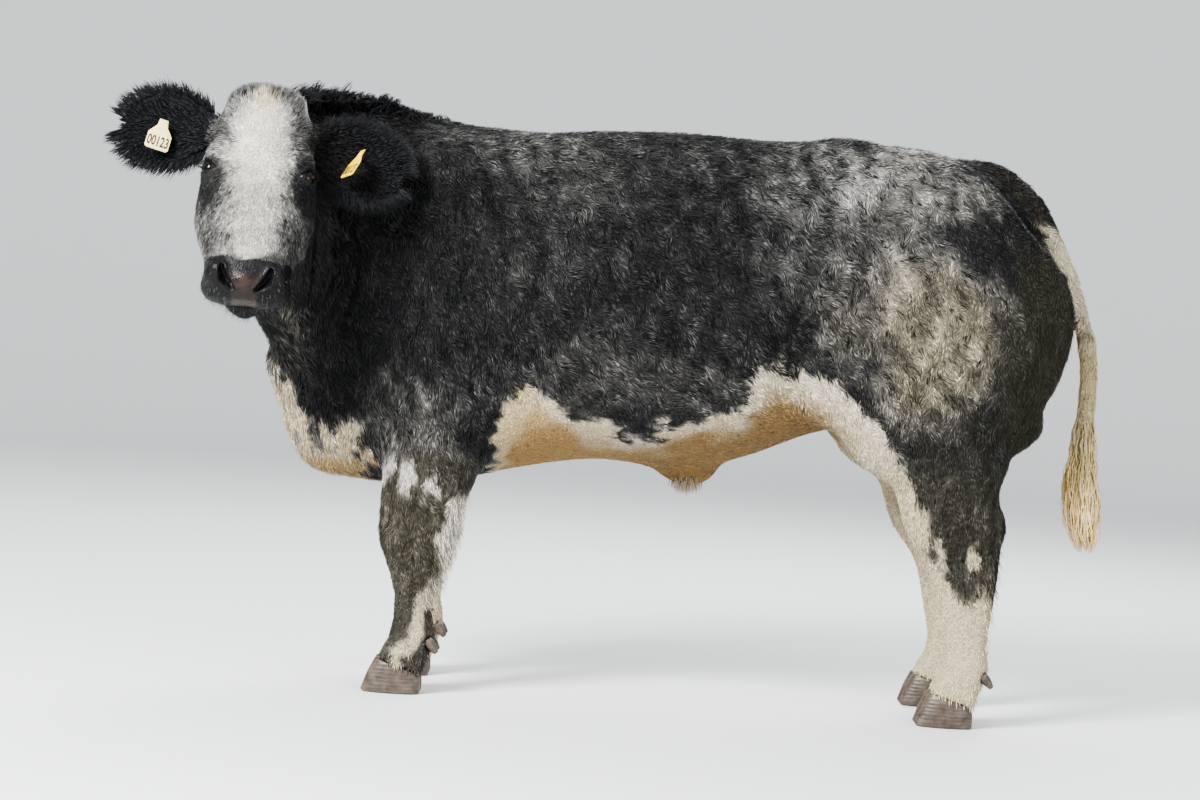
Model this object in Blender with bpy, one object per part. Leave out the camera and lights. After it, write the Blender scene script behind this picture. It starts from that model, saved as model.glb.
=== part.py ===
"""A young Belgian Blue steer, life size, standing square with its head turned to its left.

The flesh is modelled whole: lofted body, neck, head and legs with muscle forms over them are
fused, smoothed and then parted with thin cuts. Hooves, dewclaws, ears, eyes and ear tags are
pieces of their own. Metres, +Z up, the animal looks along -X, its left side is at -Y.
"""

import math

import bmesh
import bpy
import numpy as np
from mathutils import Matrix, Vector

# Driving dimensions, in metres
GAP = 0.0003
SOCKET = 0.0006
BODY_VOXEL = 0.0075
HEAD_VOXEL = 0.0036
BODY_PASSES = 90
HEAD_PASSES = 12
BODY_TRIANGLES = 5500
HEAD_TRIANGLES = 3500
SIDES = ((-1, "left"), (1, "right"))

HEAD_SLOPE = math.radians(64)
HEAD_HEADING = math.radians(4.6)
HEAD_ROLL = math.radians(-2.2)
POLL = Vector((-0.919, -0.370, 1.276))

EYE_RADIUS = 0.0215
EYE_SIDE = 0.0885
EYE_ALONG = 0.190
EYE_BACK = -0.043
EYE_OUT = (0.76, 0.65, 0.04)
EYE_OPEN = (0.038, 0.025)
LID = 0.0030

# Height share, toe pull, heel pull and width share of each ring of a claw
CLAW_HALF = 0.0262
CLAW = (
    (0.0, 0.004, 0.003, 0.93),
    (0.06, 0.0, 0.0, 0.99),
    (0.55, 0.013, -0.001, 1.02),
    (1.0, 0.027, 0.003, 0.96),
)

# Ear tags: share along the ear and rise towards its upper edge, how each hangs, and the plate
TAG_THICK = 0.0018
TAG_STAND = 0.028
TAG_PLACE = {-1: (0.575, 0.004), 1: (0.525, 0.014)}
EAR_HOLE_DEPTH = 0.021
TAG_LEAN = {-1: -8, 1: -24}
TAG_TURN = {-1: -12, 1: 58}
TAG_OUTLINE = (
    (-0.009, -0.010),
    (0.009, -0.010),
    (0.011, 0.006),
    (0.021, 0.020),
    (0.025, 0.026),
    (0.025, 0.058),
    (0.021, 0.062),
    (-0.021, 0.062),
    (-0.025, 0.058),
    (-0.025, 0.026),
    (-0.021, 0.020),
    (-0.011, 0.006),
)

FORE_FOOT_Y = 0.150
HIND_FOOT_Y = 0.155
COAT_SEED = 7


# Scene and mesh helpers


def clear_scene():
    for thing in list(bpy.data.objects):
        bpy.data.objects.remove(thing)


def material(name, colour, roughness, metallic=0.0):
    made = bpy.data.materials.new(name)
    made.use_nodes = True
    shader = made.node_tree.nodes["Principled BSDF"]
    shader.inputs["Base Color"].default_value = (*colour, 1.0)
    shader.inputs["Roughness"].default_value = roughness
    shader.inputs["Metallic"].default_value = metallic
    return made


def show(mesh, name, finish=None):
    """An object in the scene for a mesh."""
    obj = bpy.data.objects.new(name, mesh)
    bpy.context.scene.collection.objects.link(obj)
    if finish:
        mesh.materials.clear()
        mesh.materials.append(finish)
    return obj


def closed_mesh(name, bm):
    """The bmesh as a mesh of triangles that point out, cut the same way on grown copies."""
    bmesh.ops.triangulate(bm, faces=bm.faces[:], quad_method="FIXED", ngon_method="BEAUTY")
    bmesh.ops.recalc_face_normals(bm, faces=bm.faces[:])
    mesh = bpy.data.meshes.new(name)
    bm.to_mesh(mesh)
    bm.free()
    return mesh


def smooth_through(keys, values, at):
    """Cubic curve through the values at the keys, read at other places."""
    keys = np.asarray(keys, float)
    values = np.asarray(values, float)
    slopes = np.gradient(values, keys, axis=0)
    place = np.clip(np.searchsorted(keys, at, side="right") - 1, 0, len(keys) - 2)
    span = keys[place + 1] - keys[place]
    t = ((at - keys[place]) / span)[:, None]
    span = span[:, None]
    start, end = values[place], values[place + 1]
    return (
        start * (2 * t**3 - 3 * t**2 + 1)
        + end * (3 * t**2 - 2 * t**3)
        + slopes[place] * span * (t**3 - 2 * t**2 + t)
        + slopes[place + 1] * span * (t**3 - t**2)
    )


def stations(rows, count):
    """Rows whose first number is a place along the form, smoothly filled in to count rows."""
    rows = np.array(rows, float)
    at = np.linspace(rows[0, 0], rows[-1, 0], count)
    return np.column_stack([at, smooth_through(rows[:, 0], rows[:, 1:], at)])


def arch(angle, power):
    """Cosine and sine of a superellipse: power 2 is round, more is squarer."""
    c, s = math.cos(angle), math.sin(angle)
    return (
        math.copysign(abs(c) ** (2 / power), c),
        math.copysign(abs(s) ** (2 / power), s),
    )


def oval(centre, side, up, half_side, half_up, power=2.0, sides=24):
    """A ring of points around centre, in the plane of side and up."""
    ring = []
    for n in range(sides):
        c, s = arch(2 * math.pi * n / sides, power)
        ring.append(centre + side * (half_side * c) + up * (half_up * s))
    return ring


def loft(name, rings):
    """A closed skin through rings of equal count, with flat ends."""
    bm = bmesh.new()
    rows = [[bm.verts.new(point) for point in ring] for ring in rings]
    count = len(rows[0])
    for near, far in zip(rows, rows[1:]):
        for n in range(count):
            after = (n + 1) % count
            bm.faces.new((near[n], near[after], far[after], far[n]))
    bm.faces.new(rows[0])
    bm.faces.new(rows[-1])
    return closed_mesh(name, bm)


def tube(name, path, power=2.0, sides=20, count=18):
    """A loft along path rows (t, x, y, z, half depth, half width), square to its own line."""
    rows = stations(path, count)
    points = [Vector(row[1:4]) for row in rows]
    rings = []
    for n, row in enumerate(rows):
        ahead = points[min(n + 1, count - 1)] - points[max(n - 1, 0)]
        ahead.normalize()
        side = Vector((0, 1, 0))
        if abs(ahead.y) > 0.7:
            side = Vector((1, 0, 0))
        side = (side - ahead * side.dot(ahead)).normalized()
        deep = ahead.cross(side)
        rings.append(oval(points[n], deep, side, row[4], row[5], power, sides))
    return loft(name, rings)


def blob(name, frame, radii, detail=3):
    """An ellipsoid on the axes of frame."""
    bm = bmesh.new()
    bmesh.ops.create_icosphere(
        bm, subdivisions=detail, radius=1.0, matrix=frame @ Matrix.Diagonal((*radii, 1.0))
    )
    return closed_mesh(name, bm)


def leaning(place, pitch=0.0, turn=0.0):
    """A frame at place, pitched about Y and then turned about Z, in degrees."""
    return (
        Matrix.Translation(place)
        @ Matrix.Rotation(math.radians(turn), 4, "Z")
        @ Matrix.Rotation(math.radians(pitch), 4, "Y")
    )


def joined(name, meshes):
    """Several closed meshes as one mesh of overlapping shells."""
    bm = bmesh.new()
    for mesh in meshes:
        bm.from_mesh(mesh)
    made = bpy.data.meshes.new(name)
    bm.to_mesh(made)
    bm.free()
    return made


def baked(obj):
    """The object's evaluated mesh takes the place of its mesh and modifiers."""
    bpy.context.view_layer.update()
    graph = bpy.context.evaluated_depsgraph_get()
    mesh = bpy.data.meshes.new_from_object(obj.evaluated_get(graph))
    obj.modifiers.clear()
    obj.data = mesh
    return obj


def points_of(mesh):
    flat = np.empty(len(mesh.vertices) * 3)
    mesh.vertices.foreach_get("co", flat)
    return flat.reshape(-1, 3)


def set_points(mesh, points):
    mesh.vertices.foreach_set("co", points.ravel())
    mesh.update()


def largest_only(obj):
    """Keeps the largest closed surface of the object."""
    bm = bmesh.new()
    bm.from_mesh(obj.data)
    left = set(bm.verts)
    islands = []
    while left:
        seed = left.pop()
        found, edge = {seed}, [seed]
        while edge:
            vert = edge.pop()
            for link in vert.link_edges:
                other = link.other_vert(vert)
                if other not in found:
                    found.add(other)
                    edge.append(other)
        left -= found
        islands.append(found)
    islands.sort(key=len)
    scraps = [vert for island in islands[:-1] for vert in island]
    bmesh.ops.delete(bm, geom=scraps, context="VERTS")
    bm.to_mesh(obj.data)
    bm.free()
    return obj


def boolean(obj, other, operation, solver="EXACT"):
    """One applied Boolean of obj with a mesh or a list of meshes."""
    helpers = bpy.data.collections.new("helpers")
    bpy.context.scene.collection.children.link(helpers)
    for mesh in other if isinstance(other, list) else [other]:
        helper = bpy.data.objects.new("helper", mesh)
        helpers.objects.link(helper)
    cut = obj.modifiers.new("cut", "BOOLEAN")
    cut.operand_type = "COLLECTION"
    cut.collection = helpers
    cut.operation = operation
    cut.solver = solver
    baked(obj)
    for helper in list(helpers.objects):
        bpy.data.objects.remove(helper)
    bpy.data.collections.remove(helpers)
    return obj


def copy_of(obj, name):
    return show(obj.data.copy(), name)


def inflated(mesh, by):
    """A copy of a closed mesh with every vertex moved out along its normal."""
    bm = bmesh.new()
    bm.from_mesh(mesh)
    bm.normal_update()
    for vert in bm.verts:
        vert.co += vert.normal * (by * max(1.0, vert.calc_shell_factor()))
    made = bpy.data.meshes.new(mesh.name)
    bm.to_mesh(made)
    bm.free()
    return made


def fused(name, meshes, voxel):
    """Overlapping shells as one even skin."""
    obj = show(joined(name, meshes), name)
    remesh = obj.modifiers.new("fuse", "REMESH")
    remesh.mode = "VOXEL"
    remesh.voxel_size = voxel
    remesh.adaptivity = 0.0
    return baked(obj)


def relaxed(obj, share, passes):
    """Laplacian smoothing, each vertex by its own share from 0 to 1."""
    group = obj.vertex_groups.new(name="share")
    steps = np.clip(np.round(share * 10), 0, 10).astype(int)
    for step in range(1, 11):
        chosen = np.nonzero(steps == step)[0].tolist()
        if chosen:
            group.add(chosen, step / 10, "REPLACE")
    smooth = obj.modifiers.new("relax", "SMOOTH")
    smooth.factor = 0.5
    smooth.iterations = passes
    smooth.vertex_group = group.name
    baked(obj)
    obj.vertex_groups.clear()
    return obj


def reduced(obj, triangles):
    """Collapsed to about that many triangles."""
    mesh = obj.data
    count = sum(len(face.vertices) - 2 for face in mesh.polygons)
    less = obj.modifiers.new("reduce", "DECIMATE")
    less.ratio = triangles / count
    less.use_collapse_triangulate = True
    return baked(obj)


# The head's own frame: side to the animal's left, front out of the forehead, along to the nose


def head_axes():
    ahead = Vector((math.sin(HEAD_HEADING), -math.cos(HEAD_HEADING), 0))
    left = Vector((0, 0, 1)).cross(ahead)
    roll = Matrix.Rotation(HEAD_ROLL, 3, ahead)
    up = roll @ Vector((0, 0, 1))
    left = roll @ left
    along = ahead * math.cos(HEAD_SLOPE) - up * math.sin(HEAD_SLOPE)
    front = ahead * math.sin(HEAD_SLOPE) + up * math.cos(HEAD_SLOPE)
    return left, front, along


LEFT, FRONT, ALONG = head_axes()
HEAD_FRAME = Matrix.Translation(POLL) @ Matrix((LEFT, FRONT, ALONG)).transposed().to_4x4()


def on_head(side, front, along):
    return HEAD_FRAME @ Vector((side, front, along))


# Torso: x, top, level of greatest width, bottom, half width, squareness above and below
TORSO = (
    (-0.885, 0.74, 0.655, 0.575, 0.050, 2.0, 2.0),
    (-0.83, 0.88, 0.67, 0.505, 0.120, 2.0, 2.0),
    (-0.75, 1.10, 0.71, 0.452, 0.175, 2.0, 2.1),
    (-0.65, 1.225, 0.80, 0.442, 0.222, 2.0, 2.2),
    (-0.52, 1.246, 0.85, 0.455, 0.258, 2.1, 2.3),
    (-0.38, 1.243, 0.85, 0.486, 0.275, 2.2, 2.4),
    (-0.20, 1.243, 0.85, 0.520, 0.288, 2.4, 2.5),
    (0.00, 1.248, 0.86, 0.512, 0.295, 2.5, 2.4),
    (0.14, 1.252, 0.88, 0.545, 0.290, 2.5, 2.3),
    (0.28, 1.262, 0.93, 0.605, 0.270, 2.5, 2.2),
    (0.42, 1.258, 0.96, 0.640, 0.255, 2.4, 2.2),
    (0.56, 1.238, 0.97, 0.660, 0.240, 2.2, 2.1),
    (0.68, 1.175, 0.95, 0.680, 0.205, 2.0, 2.0),
    (0.78, 1.060, 0.92, 0.730, 0.130, 2.0, 2.0),
)


def torso_loft():
    rings = []
    for x, top, wide, bottom, half, above, below in stations(TORSO, 44):
        ring = []
        for n in range(36):
            angle = 2 * math.pi * n / 36
            high = math.sin(angle) >= 0
            c, s = arch(angle, above if high else below)
            reach = top - wide if high else wide - bottom
            ring.append(Vector((x, half * c, wide + reach * s)))
        rings.append(ring)
    return loft("torso", rings)


# Muscles on each side: name, centre, radii, pitch about Y and turn about Z in degrees
MUSCLES = (
    ("blade", (-0.53, 0.130, 0.98), (0.185, 0.130, 0.255), -16, 0),
    ("shoulder point", (-0.70, 0.120, 0.790), (0.115, 0.100, 0.170), 12, 0),
    ("triceps", (-0.50, 0.160, 0.770), (0.170, 0.118, 0.200), 18, 0),
    ("forearm top", (-0.545, 0.165, 0.600), (0.110, 0.082, 0.145), 0, 0),
    ("loin", (-0.05, 0.110, 1.155), (0.50, 0.115, 0.100), 0, 0),
    ("hook", (0.325, 0.150, 1.180), (0.150, 0.098, 0.085), 8, 0),
    ("rump", (0.47, 0.150, 1.085), (0.235, 0.138, 0.165), 14, 0),
    ("thigh", (0.545, 0.170, 0.860), (0.250, 0.150, 0.300), -8, 0),
    ("round", (0.690, 0.118, 0.860), (0.182, 0.128, 0.290), 8, 0),
    ("stifle", (0.425, 0.185, 0.690), (0.125, 0.088, 0.185), -22, 0),
    ("gaskin", (0.580, 0.170, 0.600), (0.130, 0.086, 0.150), 0, 0),
    ("ribs", (-0.06, 0.145, 0.800), (0.420, 0.156, 0.260), -2, 0),
    ("flank fold", (0.290, 0.190, 0.750), (0.190, 0.070, 0.120), 24, 0),
)

# Midline forms: centre, radii, pitch
MIDLINE = (
    ("brisket", (-0.768, 0.0, 0.568), (0.122, 0.105, 0.124), -28),
    ("sheath", (0.014, 0.0, 0.505), (0.078, 0.036, 0.040), 0),
    ("sheath tip", (0.010, 0.0, 0.488), (0.030, 0.020, 0.022), 0),
    ("sacrum", (0.50, 0.0, 1.150), (0.235, 0.105, 0.098), 4),
)


def muscle_forms():
    made = []
    for name, centre, radii, pitch, turn in MUSCLES:
        for side in (-1, 1):
            place = Vector((centre[0], side * centre[1], centre[2]))
            made.append(blob(name, leaning(place, pitch, side * turn), radii))
    for name, centre, radii, pitch in MIDLINE:
        made.append(blob(name, leaning(Vector(centre), pitch), radii))
    return made


# Neck: t, centre x, y, z, half height, half width
NECK = (
    (0.0, -0.50, 0.000, 0.930, 0.300, 0.185),
    (0.2, -0.63, -0.020, 0.956, 0.318, 0.180),
    (0.4, -0.745, -0.070, 0.984, 0.304, 0.158),
    (0.6, -0.835, -0.150, 1.016, 0.274, 0.128),
    (0.8, -0.892, -0.240, 1.052, 0.220, 0.108),
    (1.0, -0.912, -0.340, 1.095, 0.158, 0.096),
)
# Dewlap under the throat and along to the brisket: t, x, y, z, half depth, half width
DEWLAP = (
    (0.0, -0.895, -0.290, 0.955, 0.070, 0.060),
    (0.4, -0.885, -0.185, 0.800, 0.060, 0.045),
    (0.7, -0.868, -0.080, 0.690, 0.062, 0.050),
    (1.0, -0.820, 0.000, 0.590, 0.075, 0.070),
)


def neck_loft():
    rows = stations(NECK, 26)
    points = [Vector(row[1:4]) for row in rows]
    rings = []
    for n, row in enumerate(rows):
        ahead = points[min(n + 1, len(rows) - 1)] - points[max(n - 1, 0)]
        side = Vector((-ahead.y, ahead.x, 0)).normalized()
        up = Vector((0, 0, 1)) - ahead.normalized() * 0.35
        rings.append(oval(points[n], side, up.normalized(), row[5], row[4], 2.1, 28))
    return loft("neck", rings)


# Head: along, top, bottom, level of greatest width, half width, half width low, squareness
HEAD = (
    (-0.030, -0.045, -0.130, -0.09, 0.050, 0.045, 2.0),
    (-0.010, -0.010, -0.165, -0.08, 0.074, 0.060, 2.2),
    (0.030, 0.002, -0.190, -0.07, 0.088, 0.074, 2.5),
    (0.080, 0.006, -0.215, -0.07, 0.101, 0.080, 2.7),
    (0.130, 0.006, -0.238, -0.07, 0.110, 0.082, 2.7),
    (0.185, 0.001, -0.247, -0.08, 0.119, 0.084, 2.4),
    (0.225, -0.003, -0.238, -0.10, 0.124, 0.086, 2.2),
    (0.265, -0.006, -0.214, -0.11, 0.126, 0.082, 2.1),
    (0.305, -0.008, -0.186, -0.10, 0.120, 0.074, 2.1),
    (0.345, -0.010, -0.164, -0.09, 0.107, 0.062, 2.2),
    (0.385, -0.011, -0.150, -0.08, 0.094, 0.058, 2.3),
    (0.420, -0.014, -0.143, -0.078, 0.088, 0.058, 2.5),
    (0.450, -0.024, -0.138, -0.078, 0.080, 0.056, 2.5),
    (0.472, -0.050, -0.122, -0.082, 0.052, 0.044, 2.1),
)


def head_loft():
    rings = []
    for along, top, bottom, wide, half, low, power in stations(HEAD, 40):
        ring = []
        for n in range(32):
            c, s = arch(2 * math.pi * n / 32, power)
            width = half + (low - half) * max(0.0, -s)
            reach = top - wide if s >= 0 else wide - bottom
            ring.append(on_head(width * c, wide + reach * s, along))
        rings.append(ring)
    return loft("head", rings)


# Forms of the head on each side: centre (side, front, along) and radii on the same axes
HEAD_PAIRS = (
    ("cheek", (0.062, -0.135, 0.225), (0.060, 0.100, 0.110)),
    ("brow", (0.082, -0.030, 0.160), (0.034, 0.026, 0.040)),
    ("orbit", (0.088, -0.055, 0.190), (0.034, 0.042, 0.042)),
    ("cheek ridge", (0.088, -0.085, 0.235), (0.032, 0.045, 0.070)),
    ("temple", (0.076, -0.075, 0.095), (0.036, 0.050, 0.062)),
    ("nasal side", (0.040, -0.040, 0.300), (0.034, 0.034, 0.120)),
    ("nostril wing", (0.055, -0.042, 0.420), (0.034, 0.030, 0.036)),
    ("upper lip", (0.058, -0.078, 0.426), (0.036, 0.038, 0.040)),
    ("lip corner", (0.052, -0.108, 0.375), (0.028, 0.028, 0.050)),
)
HEAD_SINGLES = (
    ("forehead", (0.0, -0.036, 0.115), (0.090, 0.044, 0.120)),
    ("nose pad", (0.0, -0.055, 0.432), (0.058, 0.042, 0.036)),
    ("chin", (0.0, -0.124, 0.424), (0.060, 0.030, 0.046)),
    ("throat", (0.0, -0.200, 0.150), (0.070, 0.060, 0.120)),
    ("poll", (0.0, -0.046, 0.022), (0.084, 0.052, 0.046)),
)


def head_forms():
    made = []
    for name, centre, radii in HEAD_PAIRS:
        for side in (-1, 1):
            place = Matrix.Translation((side * centre[0], *centre[1:]))
            made.append(blob(name, HEAD_FRAME @ place, radii))
    for name, centre, radii in HEAD_SINGLES:
        made.append(blob(name, HEAD_FRAME @ Matrix.Translation(centre), radii))
    for side in (-1, 1):
        lids = HEAD_FRAME @ Matrix.Translation(eye_centre(side))
        made.append(blob("lids", lids, (EYE_RADIUS + LID,) * 3))
        made.append(ear_base(side))
    return made


def eye_centre(side):
    return Vector((side * EYE_SIDE, EYE_BACK, EYE_ALONG))


# Ears: root centre and direction on the head, half width and cup depth along the ear
EAR_ROOT = (0.098, -0.080, 0.078)
EAR_LENGTH = 0.200
EAR_RISE = {-1: -6, 1: 15}
EAR_SWEEP = {-1: 12, 1: 10}
# t along the ear, half width, cup depth, thickness
EAR = (
    (0.00, 0.028, 0.000, 0.040),
    (0.12, 0.034, 0.008, 0.034),
    (0.24, 0.047, 0.020, 0.020),
    (0.40, 0.065, 0.026, 0.011),
    (0.60, 0.070, 0.023, 0.009),
    (0.78, 0.062, 0.016, 0.008),
    (0.92, 0.040, 0.008, 0.007),
    (1.00, 0.016, 0.003, 0.005),
)


def ear_axes(side):
    """Root, and the directions to the tip, to the upper edge and out of the cup."""
    rise = math.radians(EAR_RISE[side])
    sweep = math.radians(EAR_SWEEP[side])
    tip = Vector(
        (
            side * math.cos(rise) * math.cos(sweep),
            -math.sin(sweep) * math.cos(rise),
            math.sin(rise),
        )
    )
    opening = Vector((side * 0.12, 0.95, 0.30))
    opening = (opening - tip * opening.dot(tip)).normalized()
    upper = tip.cross(opening)
    if upper.z > 0:
        upper = -upper
    root = Vector((side * EAR_ROOT[0], EAR_ROOT[1], EAR_ROOT[2]))
    return root, tip, upper, opening


def ear_base(side):
    """The swelling of the head that carries the ear."""
    root, tip, upper, opening = ear_axes(side)
    rings = []
    for t, wide, deep in ((-0.055, 0.030, 0.030), (-0.02, 0.038, 0.032), (0.016, 0.035, 0.028)):
        ring = oval(root + tip * t, upper, opening, wide, deep, 2, 16)
        rings.append([HEAD_FRAME @ point for point in ring])
    return loft("ear base", rings)


def ear_ring(side, grow, t, half, cup, thick, arc=7):
    """One crescent section of the ear, back surface first and then the cup."""
    root, tip, upper, opening = ear_axes(side)
    half, thick = half + grow, thick + 2 * grow
    reach = 0.004 - (grow if t == 0 else 0.0) + EAR_LENGTH * t
    centre = root + tip * reach + opening * 0.004
    back, front = [], []
    for n in range(arc):
        s = -1 + 2 * n / (arc - 1)
        fall = cup * (1 - s * s)
        body = thick * math.sqrt(max(1 - 0.82 * s * s, 0.05))
        middle = centre + upper * (half * s) - opening * fall
        back.append(middle - opening * (body / 2))
        front.append(middle + opening * (body / 2))
    return [HEAD_FRAME @ point for point in back + front[::-1]]


def ear_shell(side, grow=0.0):
    rings = [ear_ring(side, grow, *row) for row in stations(EAR, 11)]
    return loft("ear", rings)


# Legs: t, x, y, z, half depth, half width
def fore_leg(side):
    y = FORE_FOOT_Y * side
    lead = 0.020 if side > 0 else 0.0
    return (
        (0.00, -0.535 - lead, side * 0.165, 0.660, 0.110, 0.088),
        (0.16, -0.540 - lead, side * 0.160, 0.540, 0.112, 0.086),
        (0.30, -0.556 - lead, side * 0.156, 0.450, 0.100, 0.074),
        (0.42, -0.566 - lead * 0.5, side * 0.152, 0.385, 0.090, 0.066),
        (0.52, -0.569, y, 0.335, 0.086, 0.064),
        (0.62, -0.566, y, 0.275, 0.066, 0.052),
        (0.72, -0.566, y, 0.215, 0.047, 0.042),
        (0.84, -0.566, y, 0.155, 0.046, 0.043),
        (0.93, -0.565, y, 0.120, 0.054, 0.052),
        (1.00, -0.572, y, 0.095, 0.048, 0.050),
    )


def hind_leg(side):
    y = HIND_FOOT_Y * side
    return (
        (0.00, 0.545, side * 0.175, 0.690, 0.165, 0.095),
        (0.14, 0.556, side * 0.170, 0.600, 0.140, 0.088),
        (0.24, 0.566, side * 0.164, 0.530, 0.114, 0.076),
        (0.33, 0.582, side * 0.160, 0.470, 0.112, 0.066),
        (0.42, 0.605, y, 0.415, 0.103, 0.058),
        (0.50, 0.621, y, 0.355, 0.082, 0.053),
        (0.60, 0.628, y, 0.290, 0.068, 0.049),
        (0.72, 0.632, y, 0.215, 0.055, 0.045),
        (0.84, 0.637, y, 0.160, 0.047, 0.046),
        (0.93, 0.638, y, 0.125, 0.053, 0.053),
        (1.00, 0.630, y, 0.098, 0.048, 0.051),
    )


# Feet: fetlock x, coronet x, foot height at the front and back of the coronet
FORE_FOOT = {"fetlock": -0.565, "coronet": -0.592, "y": FORE_FOOT_Y, "size": 1.0}
HIND_FOOT = {"fetlock": 0.638, "coronet": 0.608, "y": HIND_FOOT_Y, "size": 0.96}
CORONET_MIDDLE = 0.060
CORONET_TILT = math.radians(17)
DIGIT_SPREAD = 0.0285
HOCK_CAP = (0.668, 0.442)


def digits(foot, side):
    """The two pasterns between fetlock and coronet."""
    made = []
    for branch in (-1, 1):
        y = side * foot["y"] + branch * DIGIT_SPREAD * foot["size"]
        path = (
            (0.0, foot["fetlock"], y - branch * 0.010, 0.135, 0.040, 0.026),
            (0.4, foot["fetlock"] - 0.006, y - branch * 0.003, 0.105, 0.046, 0.028),
            (0.7, foot["coronet"] + 0.008, y, 0.075, 0.052, 0.029),
            (1.0, foot["coronet"], y, 0.040, 0.058, 0.030),
        )
        made.append(tube("digit", path, 2.3, 16, 10))
    return made


def leg_forms():
    made = []
    for side in (-1, 1):
        made.append(tube("fore leg", fore_leg(side), 2.2, 24, 30))
        made.append(tube("hind leg", hind_leg(side), 2.2, 24, 32))
        made += digits(FORE_FOOT, side)
        made += digits(HIND_FOOT, side)
        hock = Vector((HOCK_CAP[0], side * HIND_FOOT_Y, HOCK_CAP[1]))
        made.append(blob("hock point", leaning(hock, -12), (0.048, 0.034, 0.060)))
    return made


# Tail: t, x, y, z, half depth, half width; its upper part lies on the rump
DOCK = (
    (0.0, 0.540, 0.0, 1.205, 0.040, 0.052),
    (0.22, 0.655, 0.0, 1.200, 0.042, 0.046),
    (0.38, 0.722, 0.0, 1.160, 0.038, 0.038),
    (0.55, 0.774, 0.0, 1.080, 0.036, 0.033),
    (0.70, 0.814, 0.0, 1.010, 0.032, 0.029),
    (0.85, 0.848, 0.0, 0.935, 0.027, 0.027),
    (1.0, 0.878, 0.0, 0.858, 0.022, 0.024),
)
TAIL = (
    (0.0, 0.874, 0.0, 0.885, 0.0215, 0.0235),
    (0.17, 0.889, 0.0, 0.800, 0.0215, 0.0230),
    (0.33, 0.891, 0.0, 0.730, 0.0240, 0.0250),
    (0.50, 0.887, 0.0, 0.655, 0.0300, 0.0300),
    (0.65, 0.884, 0.0, 0.590, 0.0340, 0.0330),
    (0.82, 0.889, 0.0, 0.520, 0.0330, 0.0320),
    (1.0, 0.903, 0.0, 0.440, 0.0200, 0.0200),
)
TAIL_CUT = 0.868
SWITCH_CUT = 0.655


# Locks: level, x, how many and how long in each row of the switch; then the neck's crest
SWITCH_RADIUS = 0.022
SWITCH_ROWS = (
    (0.626, 0.885, 5, 0.105),
    (0.575, 0.884, 5, 0.125),
    (0.515, 0.889, 5, 0.120),
    (0.462, 0.898, 4, 0.092),
)
CREST_START = (-0.868, -0.190, 1.256)
CREST_END = (-0.690, -0.045, 1.274)
CREST_COUNT = 14
CREST_LENGTH = 0.050
FRINGE_LENGTH = 0.040

# Local shaping of the fused skin: centres, radii and pushes on the head's axes
NOSTRIL = (
    ((0.043, -0.034, 0.436), (0.017, 0.022, 0.026), (-0.002, -0.008, -0.020)),
    ((0.056, -0.046, 0.436), (0.013, 0.016, 0.022), (-0.003, -0.004, -0.011)),
)
FACE_HOLLOWS = (
    ((0.105, -0.045, 0.235), (0.030, 0.05, 0.050), 0.006),
    ((0.112, -0.050, 0.130), (0.030, 0.04, 0.035), 0.006),
    ((0.090, -0.050, 0.345), (0.030, 0.05, 0.050), 0.005),
)
MOUTH_LEVEL = -0.104
MOUTH_DROP = 0.06
MOUTH_WIDTH = 0.009
MOUTH_DEPTH = 0.011
MOUTH_CORNER = 0.335


def falloff(points, centre, radii, axes=None):
    """1 at the centre, fading to 0 at the ellipsoid of those radii."""
    local = points - np.array(centre)
    if axes is not None:
        local = local @ np.array(axes).T
    far = np.sqrt(((local / np.array(radii)) ** 2).sum(axis=1))
    near = np.clip(1 - far, 0, 1)
    return near * near * (3 - 2 * near)


def to_head(points):
    return (np.array(points) - np.array(POLL)) @ np.array((LEFT, FRONT, ALONG)).T


def from_head(points):
    return points @ np.array((LEFT, FRONT, ALONG)) + np.array(POLL)


def near_head(points):
    """1 on the head, fading to 0 over the neck."""
    local = to_head(points)
    far = np.sqrt((local[:, 1] + 0.07) ** 2 + (local[:, 0] * 0.8) ** 2)
    inside = (local[:, 2] > -0.06) & (local[:, 2] < 0.56)
    return np.where(inside, np.clip((0.30 - far) / 0.10, 0, 1), 0)


def sculpt_head(points):
    """Nostrils, mouth line, lids' creases and the hollows of the face."""
    local = to_head(points)
    for side in (-1, 1):
        for centre, radii, push in NOSTRIL:
            pit = falloff(local, (side * centre[0], *centre[1:]), radii)
            local[:, 0] += side * push[0] * pit
            local[:, 1] += push[1] * pit
            local[:, 2] += push[2] * pit
        for centre, radii, depth in FACE_HOLLOWS:
            local[:, 0] -= side * depth * falloff(local, (side * centre[0], *centre[1:]), radii)
    local += mouth_groove(local)
    return from_head(local)


def mouth_groove(local):
    """How far each place is drawn in along the line between the lips."""
    line = MOUTH_LEVEL - MOUTH_DROP * (0.47 - local[:, 2])
    near = np.clip(1 - np.abs(local[:, 1] - line) / MOUTH_WIDTH, 0, 1)
    ends = np.clip((local[:, 2] - MOUTH_CORNER) / 0.02, 0, 1)
    inward = np.array((0.0, MOUTH_LEVEL, 0.38)) - local
    inward /= np.linalg.norm(inward, axis=1)[:, None]
    return inward * (MOUTH_DEPTH * near * ends)[:, None]


# Back of the thighs beside the tail: level and how far back they reach
BUTTOCK = (
    (0.620, 0.800),
    (0.700, 0.768),
    (0.754, 0.799),
    (0.816, 0.818),
    (0.873, 0.827),
    (0.935, 0.822),
    (0.984, 0.798),
    (1.039, 0.757),
    (1.088, 0.709),
    (1.140, 0.676),
    (1.200, 0.640),
)
BUTTOCK_SOFTNESS = 0.012


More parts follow.
